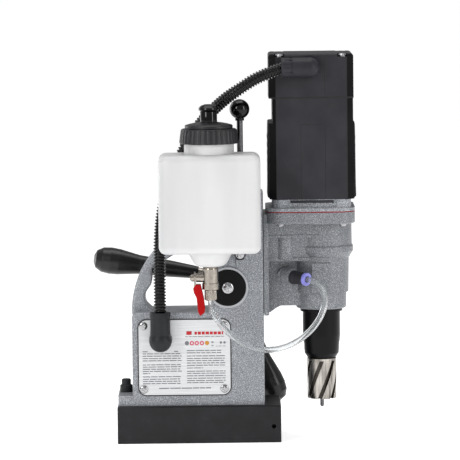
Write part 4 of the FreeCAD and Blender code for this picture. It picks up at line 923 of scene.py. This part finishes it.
def motor_lip():
    """The motor's lower lip that shows in the cover's pocket."""
    mesh = mesh_from("motor_lip", lambda work: add_block(
        work, (91, -40.95, 234.4), (133, -39.3, 237.7), 0.3))
    finish_mesh("motor_lip", mesh, "black_plastic", "carriage", (), 30)


def boot_ridges():
    """Moulded ridges along the boot's sleeve."""
    def build(work):
        for angle in (118, 90, 62, 34):
            reach = 9.75
            a = math.radians(angle)
            middle = Vector((0, BOOT_Y - reach * math.sin(a), BOOT_Z + reach * math.cos(a)))
            place = Matrix.Translation(middle * MM) @ Matrix.Rotation(a, 4, "X")
            prism(work, [(86.5, -0.3), (94.5, -0.3), (94.5, 0.3), (86.5, 0.3)], place, -0.3, 0.25)
    finish_mesh("boot_ridges", mesh_from("boot_ridges", build), "boot_rubber", "carriage")


def ejector_coil():
    """The slug ejector's spring, drawn at one fixed length."""
    pitch, radius, wire, foot, steps = 5.2, 6.4, 0.6, 41, 200
    turns = 30 / pitch
    rings = []
    for i in range(steps + 1):
        a = math.tau * turns * i / steps
        out = Vector((math.cos(a), math.sin(a), 0))
        at = Vector((SPINDLE_X, 0, foot + pitch * a / math.tau)) + out * radius
        rings.append([(at + out * wire * math.cos(b) + UP * wire * math.sin(b)) * MM
                      for b in (math.tau * k / 10 for k in range(10))])
    mesh = mesh_from("ejector_coil", lambda work: skin_rings(work, rings))
    obj = finish_mesh("ejector_coil", mesh, "screw_steel", None, ["ejector_spring"], 60)
    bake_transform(obj)


def hose_nut():
    """The hose nut as a collar with fine upright flutes."""
    low, high = node_ends("hose_nut")
    centre = (low + high) / 2
    radius = (high.x - low.x) / 2
    tall = high.z - low.z

    def flutes(angle, reach, height):
        fluted = 1 < height < tall - 1 and reach > radius - 1
        return 0.25 * math.cos(angle * 24) - 0.1 if fluted else 0

    shape = [(3.3, 0), (radius - 0.9, 0), (radius - 0.2, 0.8), (radius, 1.1), (radius, tall - 1.1),
             (radius - 0.2, tall - 0.6), (radius - 0.9, tall), (3.3, tall)]
    place = standing((centre.x, centre.y, low.z), UP)
    mesh = mesh_from("hose_nut_fluted", lambda work: skin_loop(work, turned_rings(shape, place, 192, flutes)))
    finish_mesh("hose_nut_fluted", mesh, "nickel", "stand", ["hose_nut"], 34)


def casting_ear():
    """The cast ear that rises from the feed boss to the tank bracket's foot."""
    outline = [(22.5, 168), (36.9, 164), (36.9, 193.5), (34, 193.5), (30.5, 190), (28.5, 184), (25, 178)]
    across = Matrix.Rotation(math.pi / 2, 4, "X")
    mesh = mesh_from("casting_ear", lambda work: prism(work, outline, across, 27, 33.3, 0.4))
    finish_mesh("casting_ear", mesh, "hammertone", "stand", (), 30)


def boss_ring():
    """The bare turned face of the feed boss round the disc."""
    shape = [(17.9, 0), (20.0, 0), (20.0, 0.12), (17.9, 0.12)]
    place = standing((FEED_X, -34.9, FEED_Z), NEAR)
    mesh = mesh_from("boss_face_ring", lambda work: skin_loop(work, turned_rings(shape, place, 96)))
    finish_mesh("boss_face_ring", mesh, "way_paint", "stand", (), 40)


studio()
finish_cad()
mixed_finishes()
conduit()
hose()
plate_print()
panel_print()
cross_screws()
tank_cap()
motor_lines()
side_covers()
motor_lip()
boot_ridges()
ejector_coil()
hose_nut()
casting_ear()
boss_ring()
